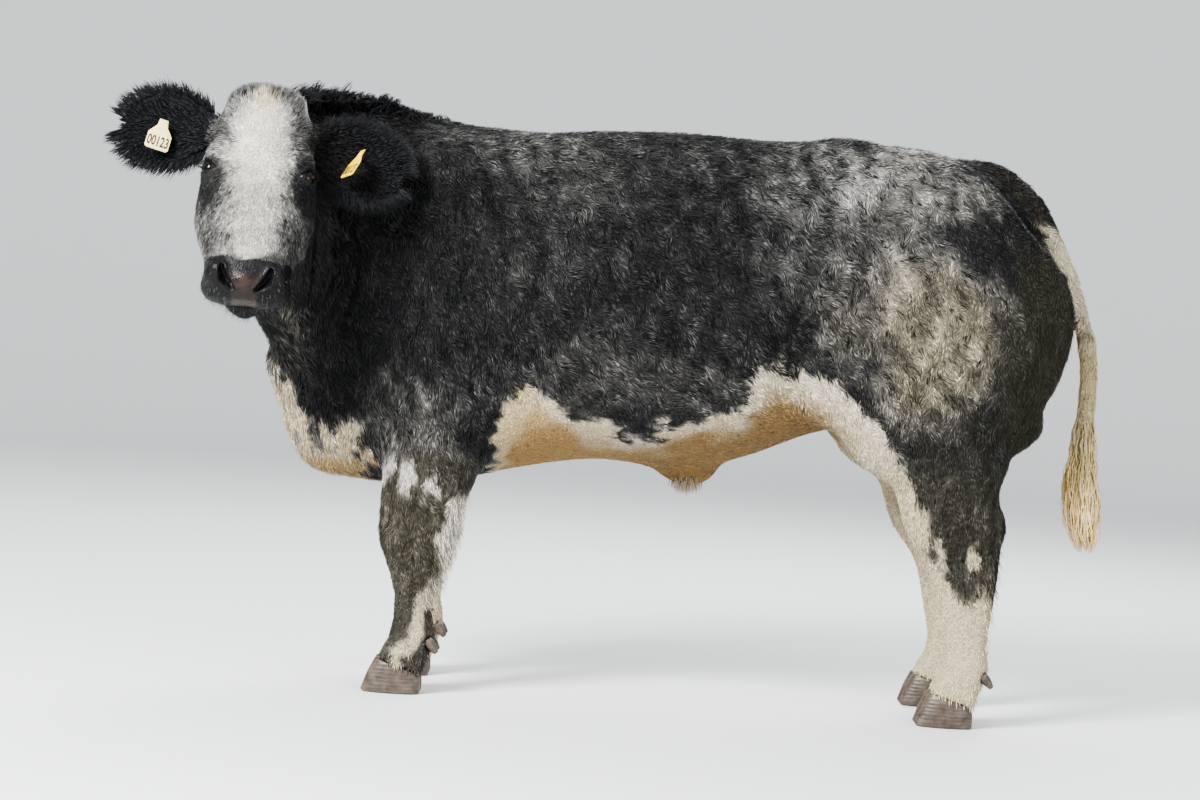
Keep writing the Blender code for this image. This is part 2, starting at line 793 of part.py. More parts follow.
def hold_buttocks(points):
    """Keeps the thighs in front of the tail, which stands out behind them."""
    levels, reach = zip(*BUTTOCK)
    limit = np.interp(points[:, 2], levels, reach)
    spare = np.clip((limit - points[:, 0]) / BUTTOCK_SOFTNESS, -30, 30)
    held = limit - BUTTOCK_SOFTNESS * np.log1p(np.exp(spare))
    beside = np.clip((np.abs(points[:, 1]) - 0.034) / 0.028, 0, 1)
    beside = beside * beside * (3 - 2 * beside)
    here = beside * (points[:, 0] > 0.55) * (points[:, 2] > 0.62) * (points[:, 2] < 1.22)
    return points[:, 0] + here * (held - points[:, 0])


def sculpt_body(points):
    """The spine's groove, folds of the neck and the hollows between the great muscles."""
    moved = points.copy()
    moved[:, 0] = hold_buttocks(points)
    spine = np.clip(1 - np.abs(points[:, 1]) / 0.05, 0, 1)
    ends = np.clip((points[:, 0] + 0.45) / 0.2, 0, 1) * np.clip((0.60 - points[:, 0]) / 0.2, 0, 1)
    top = points[:, 2] > 1.15
    moved[:, 2] -= np.where(top, 0.010 * spine * ends, 0)
    for side in (-1, 1):
        hollows = (
            ((0.14, side * 0.29, 1.02), (0.15, 0.12, 0.12), 0.018),
            ((-0.33, side * 0.28, 0.72), (0.07, 0.12, 0.22), 0.016),
            ((-0.33, side * 0.26, 1.05), (0.07, 0.12, 0.16), 0.010),
            ((0.24, side * 0.28, 0.80), (0.10, 0.12, 0.20), 0.014),
        )
        for centre, radii, depth in hollows:
            moved[:, 1] -= side * depth * falloff(points, centre, radii)
    return moved


# Parting the fused skin into named nodes


def prism(frame, outline, half, grow=0.0):
    """A slab whose outline lies in frame's YZ plane and whose thickness runs along its X."""
    rings = []
    for x in (-half, half):
        rings.append([frame @ Vector((x, y, z)) for y, z in outline])
    made = loft("prism", rings)
    return inflated(made, grow) if grow else made


def head_region(grow=0.0):
    """Everything in front of the nape and above the throat, on the head's axes."""
    outline = ((0.30, -0.3025), (0.30, 0.65), (-0.268, 0.65), (-0.268, 0.123))
    return prism(HEAD_FRAME, outline, 0.155, grow)


def neck_region(grow=0.0):
    """Everything ahead of the shoulders."""
    outline = ((-1.6, 0.20), (-0.975, 0.20), (-0.66, 1.25), (-0.60, 1.45), (-1.6, 1.45))
    turned = Matrix(((0, 1, 0, 0), (1, 0, 0, 0), (0, 0, 1, 0), (0, 0, 0, 1)))
    return prism(turned, outline, 0.9, grow)


def fore_region(side, grow=0.0):
    outline = ((0.003, -0.1), (0.45, -0.1), (0.45, 0.635), (0.003, 0.412))
    flat = [(side * y, z) for y, z in outline]
    return prism(Matrix.Translation((-0.56, 0, 0)), flat, 0.20, grow)


def hind_region(side, grow=0.0):
    outline = ((0.003, -0.1), (0.45, -0.1), (0.45, 0.605), (0.003, 0.562))
    flat = [(side * y, z) for y, z in outline]
    return prism(Matrix.Translation((0.60, 0, 0)), flat, 0.30, grow)


def foot_region(foot, grow=0.0):
    """Everything below the slanted coronet."""
    slope = math.tan(CORONET_TILT)
    x = foot["coronet"]
    front = CORONET_MIDDLE + 0.25 * slope
    back = CORONET_MIDDLE - 0.25 * slope
    outline = ((x - 0.25, -0.4), (x + 0.25, -0.4), (x + 0.25, back), (x - 0.25, front))
    turned = Matrix(((0, 1, 0, 0), (1, 0, 0, 0), (0, 0, 1, 0), (0, 0, 0, 1)))
    return prism(turned, outline, 0.9, grow)


def tail_region(low, high):
    """The free tail between two levels."""
    outline = ((-0.036, low), (0.036, low), (0.036, high), (-0.036, high))
    return prism(Matrix.Translation((0.95, 0, 0)), outline, 0.10)


def finished(obj, name, finish):
    obj.name = name
    obj.data.name = name
    obj.data.materials.clear()
    obj.data.materials.append(finish)
    return obj


def part_of(source, region, name, finish):
    """A new node: the part of source inside the region."""
    part = boolean(copy_of(source, name), region, "INTERSECT")
    return finished(largest_only(part), name, finish)


# Eyes


def eyeball(side):
    frame = HEAD_FRAME @ Matrix.Translation(eye_centre(side))
    return blob("eye", frame, (EYE_RADIUS,) * 3, 3)


def eye_opening(side):
    """The almond between the lids, as a prism from the eyeball outwards."""
    centre = eye_centre(side)
    outward = Vector((side * EYE_OUT[0], EYE_OUT[1], EYE_OUT[2])).normalized()
    down = (Vector((0, 0, 1)) - outward * outward.z).normalized()
    across = down.cross(outward)
    if across.y < 0:
        across = -across
    rings = []
    for reach, spread in ((0.004, 0.82), (0.014, 0.92), (0.024, 1.10), (0.050, 1.75)):
        ring = []
        for n in range(20):
            angle = 2 * math.pi * n / 20
            wide = EYE_OPEN[0] / 2 * math.cos(angle)
            arched = math.sin(angle) * (1 - 0.30 * math.cos(angle) ** 2)
            tall = EYE_OPEN[1] / 2 * arched * (0.92 if arched > 0 else 1.08)
            tall += 0.0018 * math.cos(angle)
            offset = across * (wide * spread) + down * (tall * spread)
            ring.append(HEAD_FRAME @ (centre + outward * reach + offset))
        rings.append(ring)
    return loft("opening", rings)


# Hooves and dewclaws


def claw(foot, side, branch):
    """One claw of a cloven hoof: flat sole on the floor, top on the slanted coronet."""
    size = foot["size"]
    y = side * foot["y"] + branch * DIGIT_SPREAD * size
    toe = foot["coronet"] - 0.078 * size
    heel = foot["coronet"] + 0.052 * size
    slope = math.tan(CORONET_TILT)
    rings = []
    for level, toe_in, heel_in, wide in CLAW:
        ring = []
        for n in range(16):
            c, s = arch(2 * math.pi * n / 16, 2.5)
            length = heel - heel_in - toe - toe_in
            x = (heel - heel_in + toe + toe_in) / 2 + c * length / 2
            narrow = 1 - 0.30 * max(0.0, -c) ** 2
            lateral = CLAW_HALF * size * wide * s * (0.92 if s * branch < 0 else narrow)
            roof = CORONET_MIDDLE - slope * (x - foot["coronet"]) - GAP * 1.1
            ring.append(Vector((x, y + lateral - branch * 0.001, level * roof)))
        rings.append(ring)
    return loft("claw", rings)


def dewclaw(foot, side, branch):
    """A short horny cone behind the fetlock."""
    size = foot["size"]
    root = Vector((foot["fetlock"] + 0.040, side * foot["y"] + branch * 0.027, 0.112))
    ahead = Vector((0.62, branch * 0.10, -0.78)).normalized()
    across = Vector((0, 1, 0))
    deep = ahead.cross(across).normalized()
    rings = []
    for t, r in ((-0.010, 0.013), (0.008, 0.0145), (0.026, 0.007)):
        rings.append(oval(root + ahead * t, across, deep, r * size, r * size * 0.85, 2.0, 8))
    return loft("dewclaw", rings)


# Ear tags


def tag(side):
    """Plate in front of the ear, stud through it and a button behind, as one piece."""
    root, tip, upper, opening = ear_axes(side)
    share, rise = TAG_PLACE[side]
    hole = root + tip * (EAR_LENGTH * share) + upper * rise - opening * EAR_HOLE_DEPTH
    turned = Matrix.Rotation(math.radians(TAG_TURN[side]), 3, "Z")
    turned = Matrix.Rotation(math.radians(TAG_LEAN[side]), 3, "Y") @ turned
    across, out, down = (turned @ Vector(axis) for axis in ((1, 0, 0), (0, 1, 0), (0, 0, 1)))
    reach = abs(math.sin(math.radians(TAG_TURN[side]))) * TAG_OUTLINE[4][0]
    plate_at = hole + opening * (TAG_STAND + reach)
    rings = []
    for depth in (0.0, TAG_THICK):
        ring = [plate_at + across * x + down * z + out * depth for x, z in TAG_OUTLINE]
        rings.append([HEAD_FRAME @ point for point in ring])
    plate = loft("plate", rings)
    stud = rod(hole - opening * 0.010, plate_at + opening * 0.001, 0.0035)
    button = rod(hole - opening * 0.013, hole - opening * 0.009, 0.0125)
    return plate, stud, button


def rod(start, end, radius):
    """A short cylinder between two points of the head's frame."""
    ahead = (end - start).normalized()
    across = ahead.orthogonal().normalized()
    deep = ahead.cross(across)
    ends = [oval(point, across, deep, radius, radius, 2.0, 12) for point in (start, end)]
    return loft("rod", [[HEAD_FRAME @ point for point in ring] for ring in ends])


# Locks of long hair: each is a flat taper that bends from one heading towards another


def lock(root, along, lean, length, width, thick, sink):
    along, lean = along.normalized(), lean.normalized()
    flat = along.cross(lean)
    if flat.length < 0.05:
        flat = along.orthogonal()
    flat.normalize()
    start = root - along * sink
    rings = []
    for share, wide in ((0.0, 0.75), (0.55, 1.0), (1.0, 0.12)):
        heading = (along * (1 - share) + lean * share).normalized()
        place = start + heading * ((length + sink) * share)
        deep = heading.cross(flat).normalized()
        rings.append(oval(place, flat, deep, width / 2 * wide, thick / 2 * wide, 2.0, 4))
    return loft("lock", rings)


def switch_locks(chance):
    """The brush at the tail's end: rows of locks that hang down and close to a point."""
    made = []
    for row, (z, x, count, length) in enumerate(SWITCH_ROWS):
        for n in range(count):
            angle = 2 * math.pi * (n + 0.5 * (row % 2)) / count + chance.uniform(-0.15, 0.15)
            out = Vector((math.cos(angle), math.sin(angle), 0))
            root = Vector((x, 0, z)) + out * SWITCH_RADIUS
            along = out * 0.42 + Vector((0.03, 0, -0.9))
            lean = out * -0.16 + Vector((0.06, 0, -1.0))
            reach = length * chance.uniform(0.85, 1.1)
            made.append(lock(root, along, lean, reach, 0.026, 0.012, 0.016))
    return made


def crest_locks(chance):
    """Curly tufts along the top of the neck behind the poll."""
    made = []
    for n in range(CREST_COUNT):
        t = n / (CREST_COUNT - 1)
        place = Vector(CREST_START).lerp(Vector(CREST_END), t)
        place.y += chance.uniform(-0.018, 0.018)
        along = Vector((-0.1, chance.uniform(-0.4, 0.4), 1.0))
        lean = Vector((0.65, chance.uniform(-0.7, 0.7), 0.8))
        length = CREST_LENGTH * (1 - 0.45 * t) * chance.uniform(0.75, 1.1)
        made.append(lock(place, along, lean, length, 0.026, 0.012, 0.026))
    return made


def ear_locks(side, chance):
    """Fringe of long hair round the ear's rim."""
    root, tip, upper, opening = ear_axes(side)
    made = []
    for edge, first, count in ((-1, 0.34, 5), (1, 0.38, 4)):
        for n in range(count):
            t = first + (0.97 - first) * n / (count - 1)
            half = float(smooth_through([r[0] for r in EAR], [[r[1]] for r in EAR], np.array([t]))[0, 0])
            rim = root + tip * (0.004 + EAR_LENGTH * t) + opening * 0.004 + upper * (edge * half)
            along = upper * edge * (1.0 - 0.4 * t) + tip * (0.2 + 0.9 * t)
            lean = along + tip * 0.35 - opening * 0.1
            length = FRINGE_LENGTH * chance.uniform(0.8, 1.1)
            shape = lock(rim, along, lean, length, 0.020, 0.0036, 0.010)
            shape.transform(HEAD_FRAME)
            made.append(shape)
    return made


# The nodes


def torso_forms():
    return [
        torso_loft(),
        neck_loft(),
        tube("dewlap", DEWLAP, 2.0, 18, 16),
        tube("dock", DOCK, 2.0, 18, 22),
        *muscle_forms(),
        *leg_forms(),
    ]


def body_share(points):
    """How much each place is smoothed: little on the feet and tail, most on the trunk."""
    share = 0.12 + 0.18 * np.clip((points[:, 2] - 0.13) / 0.2, 0, 1)
    share += 0.70 * np.clip((points[:, 2] - 0.36) / 0.22, 0, 1)
    dock = np.clip((points[:, 0] - 0.70) / 0.06, 0, 1) * np.clip((0.07 - abs(points[:, 1])) / 0.03, 0, 1)
    head = near_head(points)
    return share * (1 - 0.8 * dock) * (1 - 0.75 * head)


def make_body():
    """The whole flesh, smoothed and reduced, still in one piece."""
    body = fused("body", torso_forms() + [head_loft(), *head_forms()], BODY_VOXEL)
    relaxed(body, body_share(points_of(body.data)), BODY_PASSES)
    set_points(body.data, sculpt_body(points_of(body.data)))
    relaxed(body, np.ones(len(body.data.vertices)), 4)
    return reduced(body, BODY_TRIANGLES)


def make_head():
    """The head on a finer skin, reduced, with a little neck left behind the parting plane."""
    forms = [head_loft(), neck_loft(), tube("dewlap", DEWLAP, 2.0, 18, 16), *head_forms()]
    head = fused("head", forms, HEAD_VOXEL)
    boolean(head, head_region(0.03), "INTERSECT")
    relaxed(head, np.full(len(head.data.vertices), 0.6), HEAD_PASSES)
    set_points(head.data, sculpt_head(points_of(head.data)))
    relaxed(head, np.full(len(head.data.vertices), 0.3), 2)
    return reduced(head, HEAD_TRIANGLES)


def main():
    clear_scene()
    dark = material("coat_dark", (0.06, 0.06, 0.065), 0.75)
    roan = material("coat_roan", (0.16, 0.16, 0.165), 0.75)
    horn = material("hoof_horn", (0.10, 0.08, 0.065), 0.45)
    dewy = material("eye_surface", (0.015, 0.010, 0.008), 0.08)
    yellow = material("tag_plastic", (0.80, 0.62, 0.10), 0.45)

    body = make_body()
    boolean(body, head_region(GAP), "DIFFERENCE")
    neck = part_of(body, neck_region(), "neck", dark)
    legs = []
    for side, word in SIDES:
        legs.append(part_of(body, fore_region(side), "foreleg_" + word, roan))
        legs.append(part_of(body, hind_region(side), "hindleg_" + word, roan))
    regions = [neck_region(GAP), tail_region(0.60, TAIL_CUT)]
    for side, word in SIDES:
        regions += [fore_region(side, GAP), hind_region(side, GAP)]
    boolean(body, regions, "DIFFERENCE")
    chance = np.random.default_rng(COAT_SEED)
    largest_only(boolean(neck, crest_locks(chance), "UNION"))
    nodes = [finished(largest_only(body), "torso", roan), neck, *legs]

    head = make_head()
    boolean(head, head_region(), "INTERSECT")
    cutters = []
    for side, word in ((1, "left"), (-1, "right")):
        ear, eye = ear_shell(side), eyeball(side)
        cutters += [ear_shell(side, SOCKET), inflated(eye, GAP), eye_opening(side)]
        nodes.append(finished(show(ear, "ear"), "ear_" + word, dark))
        nodes.append(finished(show(eye, "eye"), "eye_" + word, dewy))
        plate, stud, button = tag(side)
        furry = nodes[-2]
        boolean(furry, ear_locks(side, chance), "UNION")
        boolean(furry, inflated(stud, GAP), "DIFFERENCE")
        largest_only(furry)
        made = boolean(show(plate, "tag"), [stud, button], "UNION")
        nodes.append(finished(made, "tag_" + word, yellow))
    for cutter in cutters:
        boolean(head, cutter, "DIFFERENCE")
    nodes.append(finished(largest_only(head), "head", roan))

    for leg in legs:
        side = -1 if leg.name.endswith("left") else 1
        fore = leg.name.startswith("fore")
        foot = FORE_FOOT if fore else HIND_FOOT
        boolean(leg, foot_region(foot), "DIFFERENCE")
        for branch, place in ((-side, "inner"), (side, "outer")):
            name = f"{'fore' if fore else 'hind'}_{leg.name.split('_')[1]}_{place}"
            hoof = show(claw(foot, side, branch), "claw")
            nodes.append(finished(hoof, "hoof_" + name, horn))
            spur = dewclaw(foot, side, branch)
            boolean(leg, inflated(spur, GAP), "DIFFERENCE")
            nodes.append(finished(show(spur, "spur"), "dewclaw_" + name, horn))
        largest_only(leg)

    whole = show(tube("tail", TAIL, 2.0, 12, 18), "whole")
    parts = (("tail", SWITCH_CUT + GAP, TAIL_CUT - GAP, dark), ("tail_switch", 0.3, SWITCH_CUT, roan))
    for name, low, high, finish in parts:
        nodes.append(part_of(whole, tail_region(low, high), name, finish))
    bpy.data.objects.remove(whole)
    largest_only(boolean(nodes[-1], switch_locks(chance), "UNION"))
    centre_over_floor(nodes)


def centre_over_floor(nodes):
    """The middle of the bounding box's bottom becomes the origin."""
    points = np.concatenate([points_of(node.data) for node in nodes])
    low, high = points.min(axis=0), points.max(axis=0)
    shift = Matrix.Translation((-(low[0] + high[0]) / 2, -(low[1] + high[1]) / 2, -low[2]))
    for node in nodes:
        node.data.transform(shift)
        node.data.update()


if __name__ == "__main__":
    main()
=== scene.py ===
"""Blue roan beef steer standing square: hide, coat, eyes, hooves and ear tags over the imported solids."""

import math

import bmesh
import bpy
import numpy as np
from mathutils import Matrix, Vector
from mathutils.bvhtree import BVHTree
from mathutils.kdtree import KDTree


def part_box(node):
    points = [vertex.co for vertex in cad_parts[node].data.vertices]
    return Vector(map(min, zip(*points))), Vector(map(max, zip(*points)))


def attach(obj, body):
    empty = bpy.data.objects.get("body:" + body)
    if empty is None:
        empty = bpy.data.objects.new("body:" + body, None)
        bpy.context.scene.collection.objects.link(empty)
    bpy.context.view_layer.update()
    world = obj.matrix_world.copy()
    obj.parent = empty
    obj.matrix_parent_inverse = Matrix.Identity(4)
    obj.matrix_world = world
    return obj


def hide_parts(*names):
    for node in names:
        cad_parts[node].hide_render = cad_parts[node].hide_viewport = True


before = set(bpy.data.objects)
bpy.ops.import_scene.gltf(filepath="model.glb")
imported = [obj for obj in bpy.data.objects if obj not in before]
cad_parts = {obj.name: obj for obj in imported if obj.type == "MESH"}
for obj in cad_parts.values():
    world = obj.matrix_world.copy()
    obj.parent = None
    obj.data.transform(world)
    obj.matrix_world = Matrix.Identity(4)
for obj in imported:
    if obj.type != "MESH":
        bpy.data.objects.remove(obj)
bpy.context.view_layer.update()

# Sizes are in metres and measured from the beast's own origin, on the midline under the withers
# How far that lies behind the toe of the near fore hoof
FORE_TOE = 0.670
# How steeply the face slopes, which way it looks and how it is tilted, and the poll
HEAD_SLOPE = math.radians(64)
HEAD_HEADING = math.radians(4.6)
HEAD_ROLL = math.radians(-2.2)
POLL = Vector((-0.919, -0.370, 1.276))
# Radius of an eyeball, how far it is moved out of the solid's place, and which way it looks
EYE_RADIUS = 0.0215
EYE_PROUD = 0.007
EYE_OUT = Vector((0.76, 0.65, 0.04))
# Width and height between the lids, and how far they reach from there
EYE_OPEN = (0.040, 0.026)
LID_REACH = 0.014
LID_STATIONS = 64
# The forehead's whorl of hair: aside, then along the head
WHORL = (0.004, 0.157)
HIDE_VOXEL = 0.0045
HIDE_TRIANGLES = 130000
# Passes of smoothing of the hide, and of the parts' shares before and after the hide is finished
SMOOTH_PASSES = 70
FIRST_BLEND = 12
LAST_BLEND = 6
SEED = 11

# The parts of the beast, and the part that each CAD node under the one hide belongs to
PARTS = 7
TRUNK, NECK, HEAD, LEG, TAIL, EAR, LID = range(PARTS)
FLESH = {
    "torso": TRUNK,
    "neck": NECK,
    "head": HEAD,
    "foreleg_left": LEG,
    "foreleg_right": LEG,
    "hindleg_left": LEG,
    "hindleg_right": LEG,
    "tail": TAIL,
}
SIDES = ((1, "left"), (-1, "right"))


def beast_origin():
    """Where the traced sizes are measured from, found again from the fore hooves."""
    near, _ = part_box("hoof_fore_left_outer")
    _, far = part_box("hoof_fore_right_outer")
    return Vector((near.x + FORE_TOE, (near.y + far.y) / 2, 0))


ORIGIN = beast_origin()
ORIGIN_POINT = np.array(ORIGIN)


def measured(points):
    """The same places, measured from the beast's own origin."""
    return points - ORIGIN_POINT


# The head's own axes: side to the animal's left, front out of the forehead, along to the nose


def head_axes():
    ahead = Vector((math.sin(HEAD_HEADING), -math.cos(HEAD_HEADING), 0))
    left = Vector((0, 0, 1)).cross(ahead)
    roll = Matrix.Rotation(HEAD_ROLL, 3, ahead)
    up = roll @ Vector((0, 0, 1))
    left = roll @ left
    along = ahead * math.cos(HEAD_SLOPE) - up * math.sin(HEAD_SLOPE)
    front = ahead * math.sin(HEAD_SLOPE) + up * math.cos(HEAD_SLOPE)
    return Matrix((left, front, along))


HEAD_AXES = head_axes()
HEAD_ROWS = np.array(HEAD_AXES)
HEAD_POINT = np.array(ORIGIN + POLL)


def to_head(points):
    return (points - HEAD_POINT) @ HEAD_ROWS.T


def from_head(points):
    return np.asarray(points) @ HEAD_ROWS + HEAD_POINT


def on_head(place):
    return ORIGIN + POLL + HEAD_AXES.transposed() @ Vector(place)


def head_vector(direction):
    return HEAD_AXES.transposed() @ Vector(direction)


# Small helpers for numbers


def ramp(value, low, high):
    """0 below low, 1 above high, eased between. Low may be the greater."""
    share = np.clip((value - low) / (high - low), 0, 1)
    return share * share * (3 - 2 * share)


def unit(vectors):
    return vectors / np.maximum(np.linalg.norm(vectors, axis=-1, keepdims=True), 1e-9)


def falloff(points, centre, radii):
    """1 at the centre, fading to 0 at the ellipsoid of those radii."""
    far = np.sqrt((((points - np.array(centre)) / np.array(radii)) ** 2).sum(axis=1))
    near = np.clip(1 - far, 0, 1)
    return near * near * (3 - 2 * near)


def ripples(points, size, seed, waves=7):
    """Smooth wandering values about 0, mostly within -1 and 1, that change over this size."""
    chance = np.random.default_rng(seed)
    headings = unit(chance.normal(size=(waves, 3)))
    rates = 2 * math.pi / (size * chance.uniform(1.0, 2.2, waves))
    starts = chance.uniform(0, 2 * math.pi, waves)
    total = np.zeros(len(points))
    for heading, rate, start in zip(headings, rates, starts):
        total += np.sin(points @ heading * rate + start)
    return total / math.sqrt(waves * 0.6)


def along_table(value, table):
    """Reads columns of a table of (key, column, column ...) at each value, straight between rows."""
    rows = np.array(table, float)
    return [np.interp(value, rows[:, 0], rows[:, n]) for n in range(1, rows.shape[1])]


# Small helpers for meshes


def only(piece):
    """Makes this the one selected and active object."""
    bpy.ops.object.select_all(action="DESELECT")
    piece.select_set(True)
    bpy.context.view_layer.objects.active = piece
    return piece


def modify(piece, kind, **settings):
    """Adds a modifier with these settings and applies it."""
    only(piece)
    modifier = piece.modifiers.new(kind.title(), kind)
    for name, value in settings.items():
        setattr(modifier, name, value)
    bpy.ops.object.modifier_apply(modifier=modifier.name)
    return piece


def settle(piece):
    """Moves a piece's place into its mesh, so that its object stands unturned at the origin."""
    only(piece)
    bpy.ops.object.transform_apply(location=True, rotation=True, scale=True)
    return piece


def linked(name, data):
    """A new object of this mesh, lamp or camera, in the scene."""
    piece = bpy.data.objects.new(name, data)
    bpy.context.scene.collection.objects.link(piece)
    return piece


def from_bmesh(bm, name):
    mesh = bpy.data.meshes.new(name)
    bm.to_mesh(mesh)
    bm.free()
    return linked(name, mesh)


def bridge(bm, rings):
    """Quads between each closed ring of corners and the next."""
    for low, high in zip(rings, rings[1:]):
        for k in range(len(low)):
            j = (k + 1) % len(low)
            bm.faces.new((low[k], low[j], high[j], high[k]))


def twin_of(piece):
    """A copy of this object with a mesh of its own."""
    twin = piece.copy()
    twin.data = piece.data.copy()
    bpy.context.scene.collection.objects.link(twin)
    return twin


def joined(pieces, name):
    bpy.ops.object.select_all(action="DESELECT")
    for piece in pieces:
        piece.select_set(True)
    bpy.context.view_layer.objects.active = pieces[0]
    bpy.ops.object.join()
    pieces[0].name = pieces[0].data.name = name
    return pieces[0]


def points_of(piece):
    flat = np.empty(len(piece.data.vertices) * 3, np.float32)
    piece.data.vertices.foreach_get("co", flat)
    return flat.reshape(-1, 3).astype(float)


def set_points(piece, points):
    piece.data.vertices.foreach_set("co", points.astype(np.float32).ravel())
    piece.data.update()


def normals_of(piece):
    flat = np.empty(len(piece.data.vertices) * 3, np.float32)
    piece.data.vertex_normals.foreach_get("vector", flat)
    return flat.reshape(-1, 3).astype(float)


def edges_of(piece):
    flat = np.empty(len(piece.data.edges) * 2, np.int32)
    piece.data.edges.foreach_get("vertices", flat)
    return flat.reshape(-1, 2)


def spread_out(values, edges, passes):
    """Averages each vertex's values with its neighbours', again and again."""
    values = values.reshape(len(values), -1).astype(float)
    count = np.bincount(edges.ravel(), minlength=len(values)).reshape(-1, 1)
    for _ in range(passes):
        total = np.empty_like(values)
        for n in range(values.shape[1]):
            column = values[:, n]
            total[:, n] = np.bincount(edges[:, 0], column[edges[:, 1]], len(values))
            total[:, n] += np.bincount(edges[:, 1], column[edges[:, 0]], len(values))
        values = 0.5 * values + 0.5 * total / np.maximum(count, 1)
    return values


def weigh(piece, name, weights):
    """A vertex group holding these weights, in steps of a twentieth."""
    group = piece.vertex_groups.new(name=name)
    steps = np.round(np.clip(weights, 0, 1) * 20).astype(int)
    for step in range(1, 21):
        group.add(np.nonzero(steps == step)[0].tolist(), step / 20, "REPLACE")
    return name


def keep_number(piece, name, values):
    attribute = piece.data.attributes.new(name, "FLOAT", "POINT")
    attribute.data.foreach_set("value", np.asarray(values, np.float32))


def kept_number(piece, name):
    values = np.zeros(len(piece.data.vertices), np.float32)
    piece.data.attributes[name].data.foreach_get("value", values)
    return values


def keep_tone(piece, colours):
    attribute = piece.data.color_attributes.new("coat_tone", "FLOAT_COLOR", "POINT")
    four = np.ones((len(colours), 4), np.float32)
    four[:, :3] = colours
    attribute.data.foreach_set("color", four.ravel())


def solid_copy(node):
    """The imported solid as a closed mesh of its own, with its split corners welded."""
    piece = twin_of(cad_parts[node])
    piece.parent = None
    for key in list(piece.keys()):
        del piece[key]
    piece.matrix_world = Matrix.Identity(4)
    only(piece)
    bpy.ops.object.mode_set(mode="EDIT")
    bpy.ops.mesh.select_all(action="SELECT")
    bpy.ops.mesh.remove_doubles(threshold=1e-5)
    bpy.ops.object.mode_set(mode="OBJECT")
    piece.data.materials.clear()
    return piece


def largest_only(piece):
    """Drops all but the largest closed surface."""
    bm = bmesh.new()
    bm.from_mesh(piece.data)
    left, shells = set(bm.verts), []
    while left:
        front = [left.pop()]
        shell = list(front)
        while front:
            near = {e.other_vert(v) for v in front for e in v.link_edges} & left
            left -= near
            front = list(near)
            shell += front
        shells.append(shell)
    shells.sort(key=len)
    for shell in shells[:-1]:
        bmesh.ops.delete(bm, geom=shell, context="VERTS")
    bm.to_mesh(piece.data)
    bm.free()
    return piece


# Ears, as in the solids, on the head's axes

EAR_ROOT = Vector((0.098, -0.080, 0.078))
EAR_LENGTH = 0.200
# Angles down the head and back, in degrees, for the animal's right and left
EAR_RISE = {-1: -6, 1: 15}
EAR_SWEEP = {-1: 12, 1: 10}
EAR_OPENING = (0.12, 0.95, 0.30)
# How far the root is sunk in the head, and how far the ear stands forward
EAR_TUCK = 0.012
EAR_LIFT = 0.004
# Share of the length, then half width, cup depth and thickness
EAR_SHAPE = (
    (0.00, 0.028, 0.000, 0.040),
    (0.12, 0.034, 0.008, 0.034),
    (0.24, 0.047, 0.020, 0.020),
    (0.40, 0.064, 0.026, 0.010),
    (0.60, 0.069, 0.023, 0.007),
    (0.78, 0.062, 0.016, 0.006),
    (0.92, 0.041, 0.008, 0.005),
    (1.00, 0.016, 0.003, 0.004),
)
EAR_STATIONS = 26
EAR_ARC = 13
# How much thinner the ear is at its edges, and how its stations crowd towards the root
EAR_THINNING = 0.82
EAR_CROWDING = 0.85


def ear_axes(side):
    """Root, and the directions to the tip, to the upper edge and out of the cup, on the head's axes."""
    rise, sweep = math.radians(EAR_RISE[side]), math.radians(EAR_SWEEP[side])
    level = math.cos(rise)
    tip = Vector((side * level * math.cos(sweep), -math.sin(sweep) * level, math.sin(rise)))
    opening = Vector((side * EAR_OPENING[0], EAR_OPENING[1], EAR_OPENING[2]))
    opening = (opening - tip * opening.dot(tip)).normalized()
    upper = tip.cross(opening)
    if upper.z > 0:
        upper = -upper
    root = Vector((side * EAR_ROOT.x, EAR_ROOT.y, EAR_ROOT.z))
    return root, tip, upper, opening


def ear_reach(share):
    """How far from the root the ear's middle stands at this share of its length."""
    return EAR_LENGTH * share - EAR_TUCK * (1 - share)


def ear_skin(side):
    """The cupped ear as one closed shell, its root sunk in the head."""
    root, tip, upper, opening = ear_axes(side)
    bm = bmesh.new()
    rings = []
    for n in range(EAR_STATIONS):
        share = (n / (EAR_STATIONS - 1)) ** EAR_CROWDING
        half, cup, thick = along_table(share, EAR_SHAPE)
        centre = root + tip * ear_reach(share) + opening * EAR_LIFT
        back, inner = [], []
        for k in range(EAR_ARC):
            aside = -1 + 2 * k / (EAR_ARC - 1)
            body = thick * math.sqrt(1 - EAR_THINNING * aside * aside)
            middle = centre + upper * (half * aside) - opening * (cup * (1 - aside * aside))
            back.append(bm.verts.new(on_head(middle - opening * (body / 2))))
            inner.append(bm.verts.new(on_head(middle + opening * (body / 2))))
        rings.append(back + inner[::-1])
    bridge(bm, rings)
    bm.faces.new(rings[0][::-1])
    bm.faces.new(rings[-1])
    bmesh.ops.recalc_face_normals(bm, faces=bm.faces)
    return from_bmesh(bm, "ear")


# Eyes and lids

# How much lower the lids' inner corner lies
LID_SLANT = 0.0016
LID_THICKNESS = 0.0010
# The lids from the wet rim out to the hide: share of the way, lift off the line between the two,
# share of the hide's own height, and how bare the skin is
LID_PROFILE = (
    (-0.10, -0.0060, 0.0, 1),
    (-0.045, -0.0010, 0.0, 1),
    (0.0, 0.0010, 0.0, 1),
    (0.10, 0.0022, 0.04, 1),
    (0.22, 0.0030, 0.14, 0.8),
    (0.36, 0.0022, 0.32, 0.3),
    (0.52, 0.0032, 0.54, 0),
    (0.70, 0.0026, 0.78, 0),
    (0.86, 0.0008, 0.93, 0),
    (1.0, -0.0035, 1.0, 0),
)


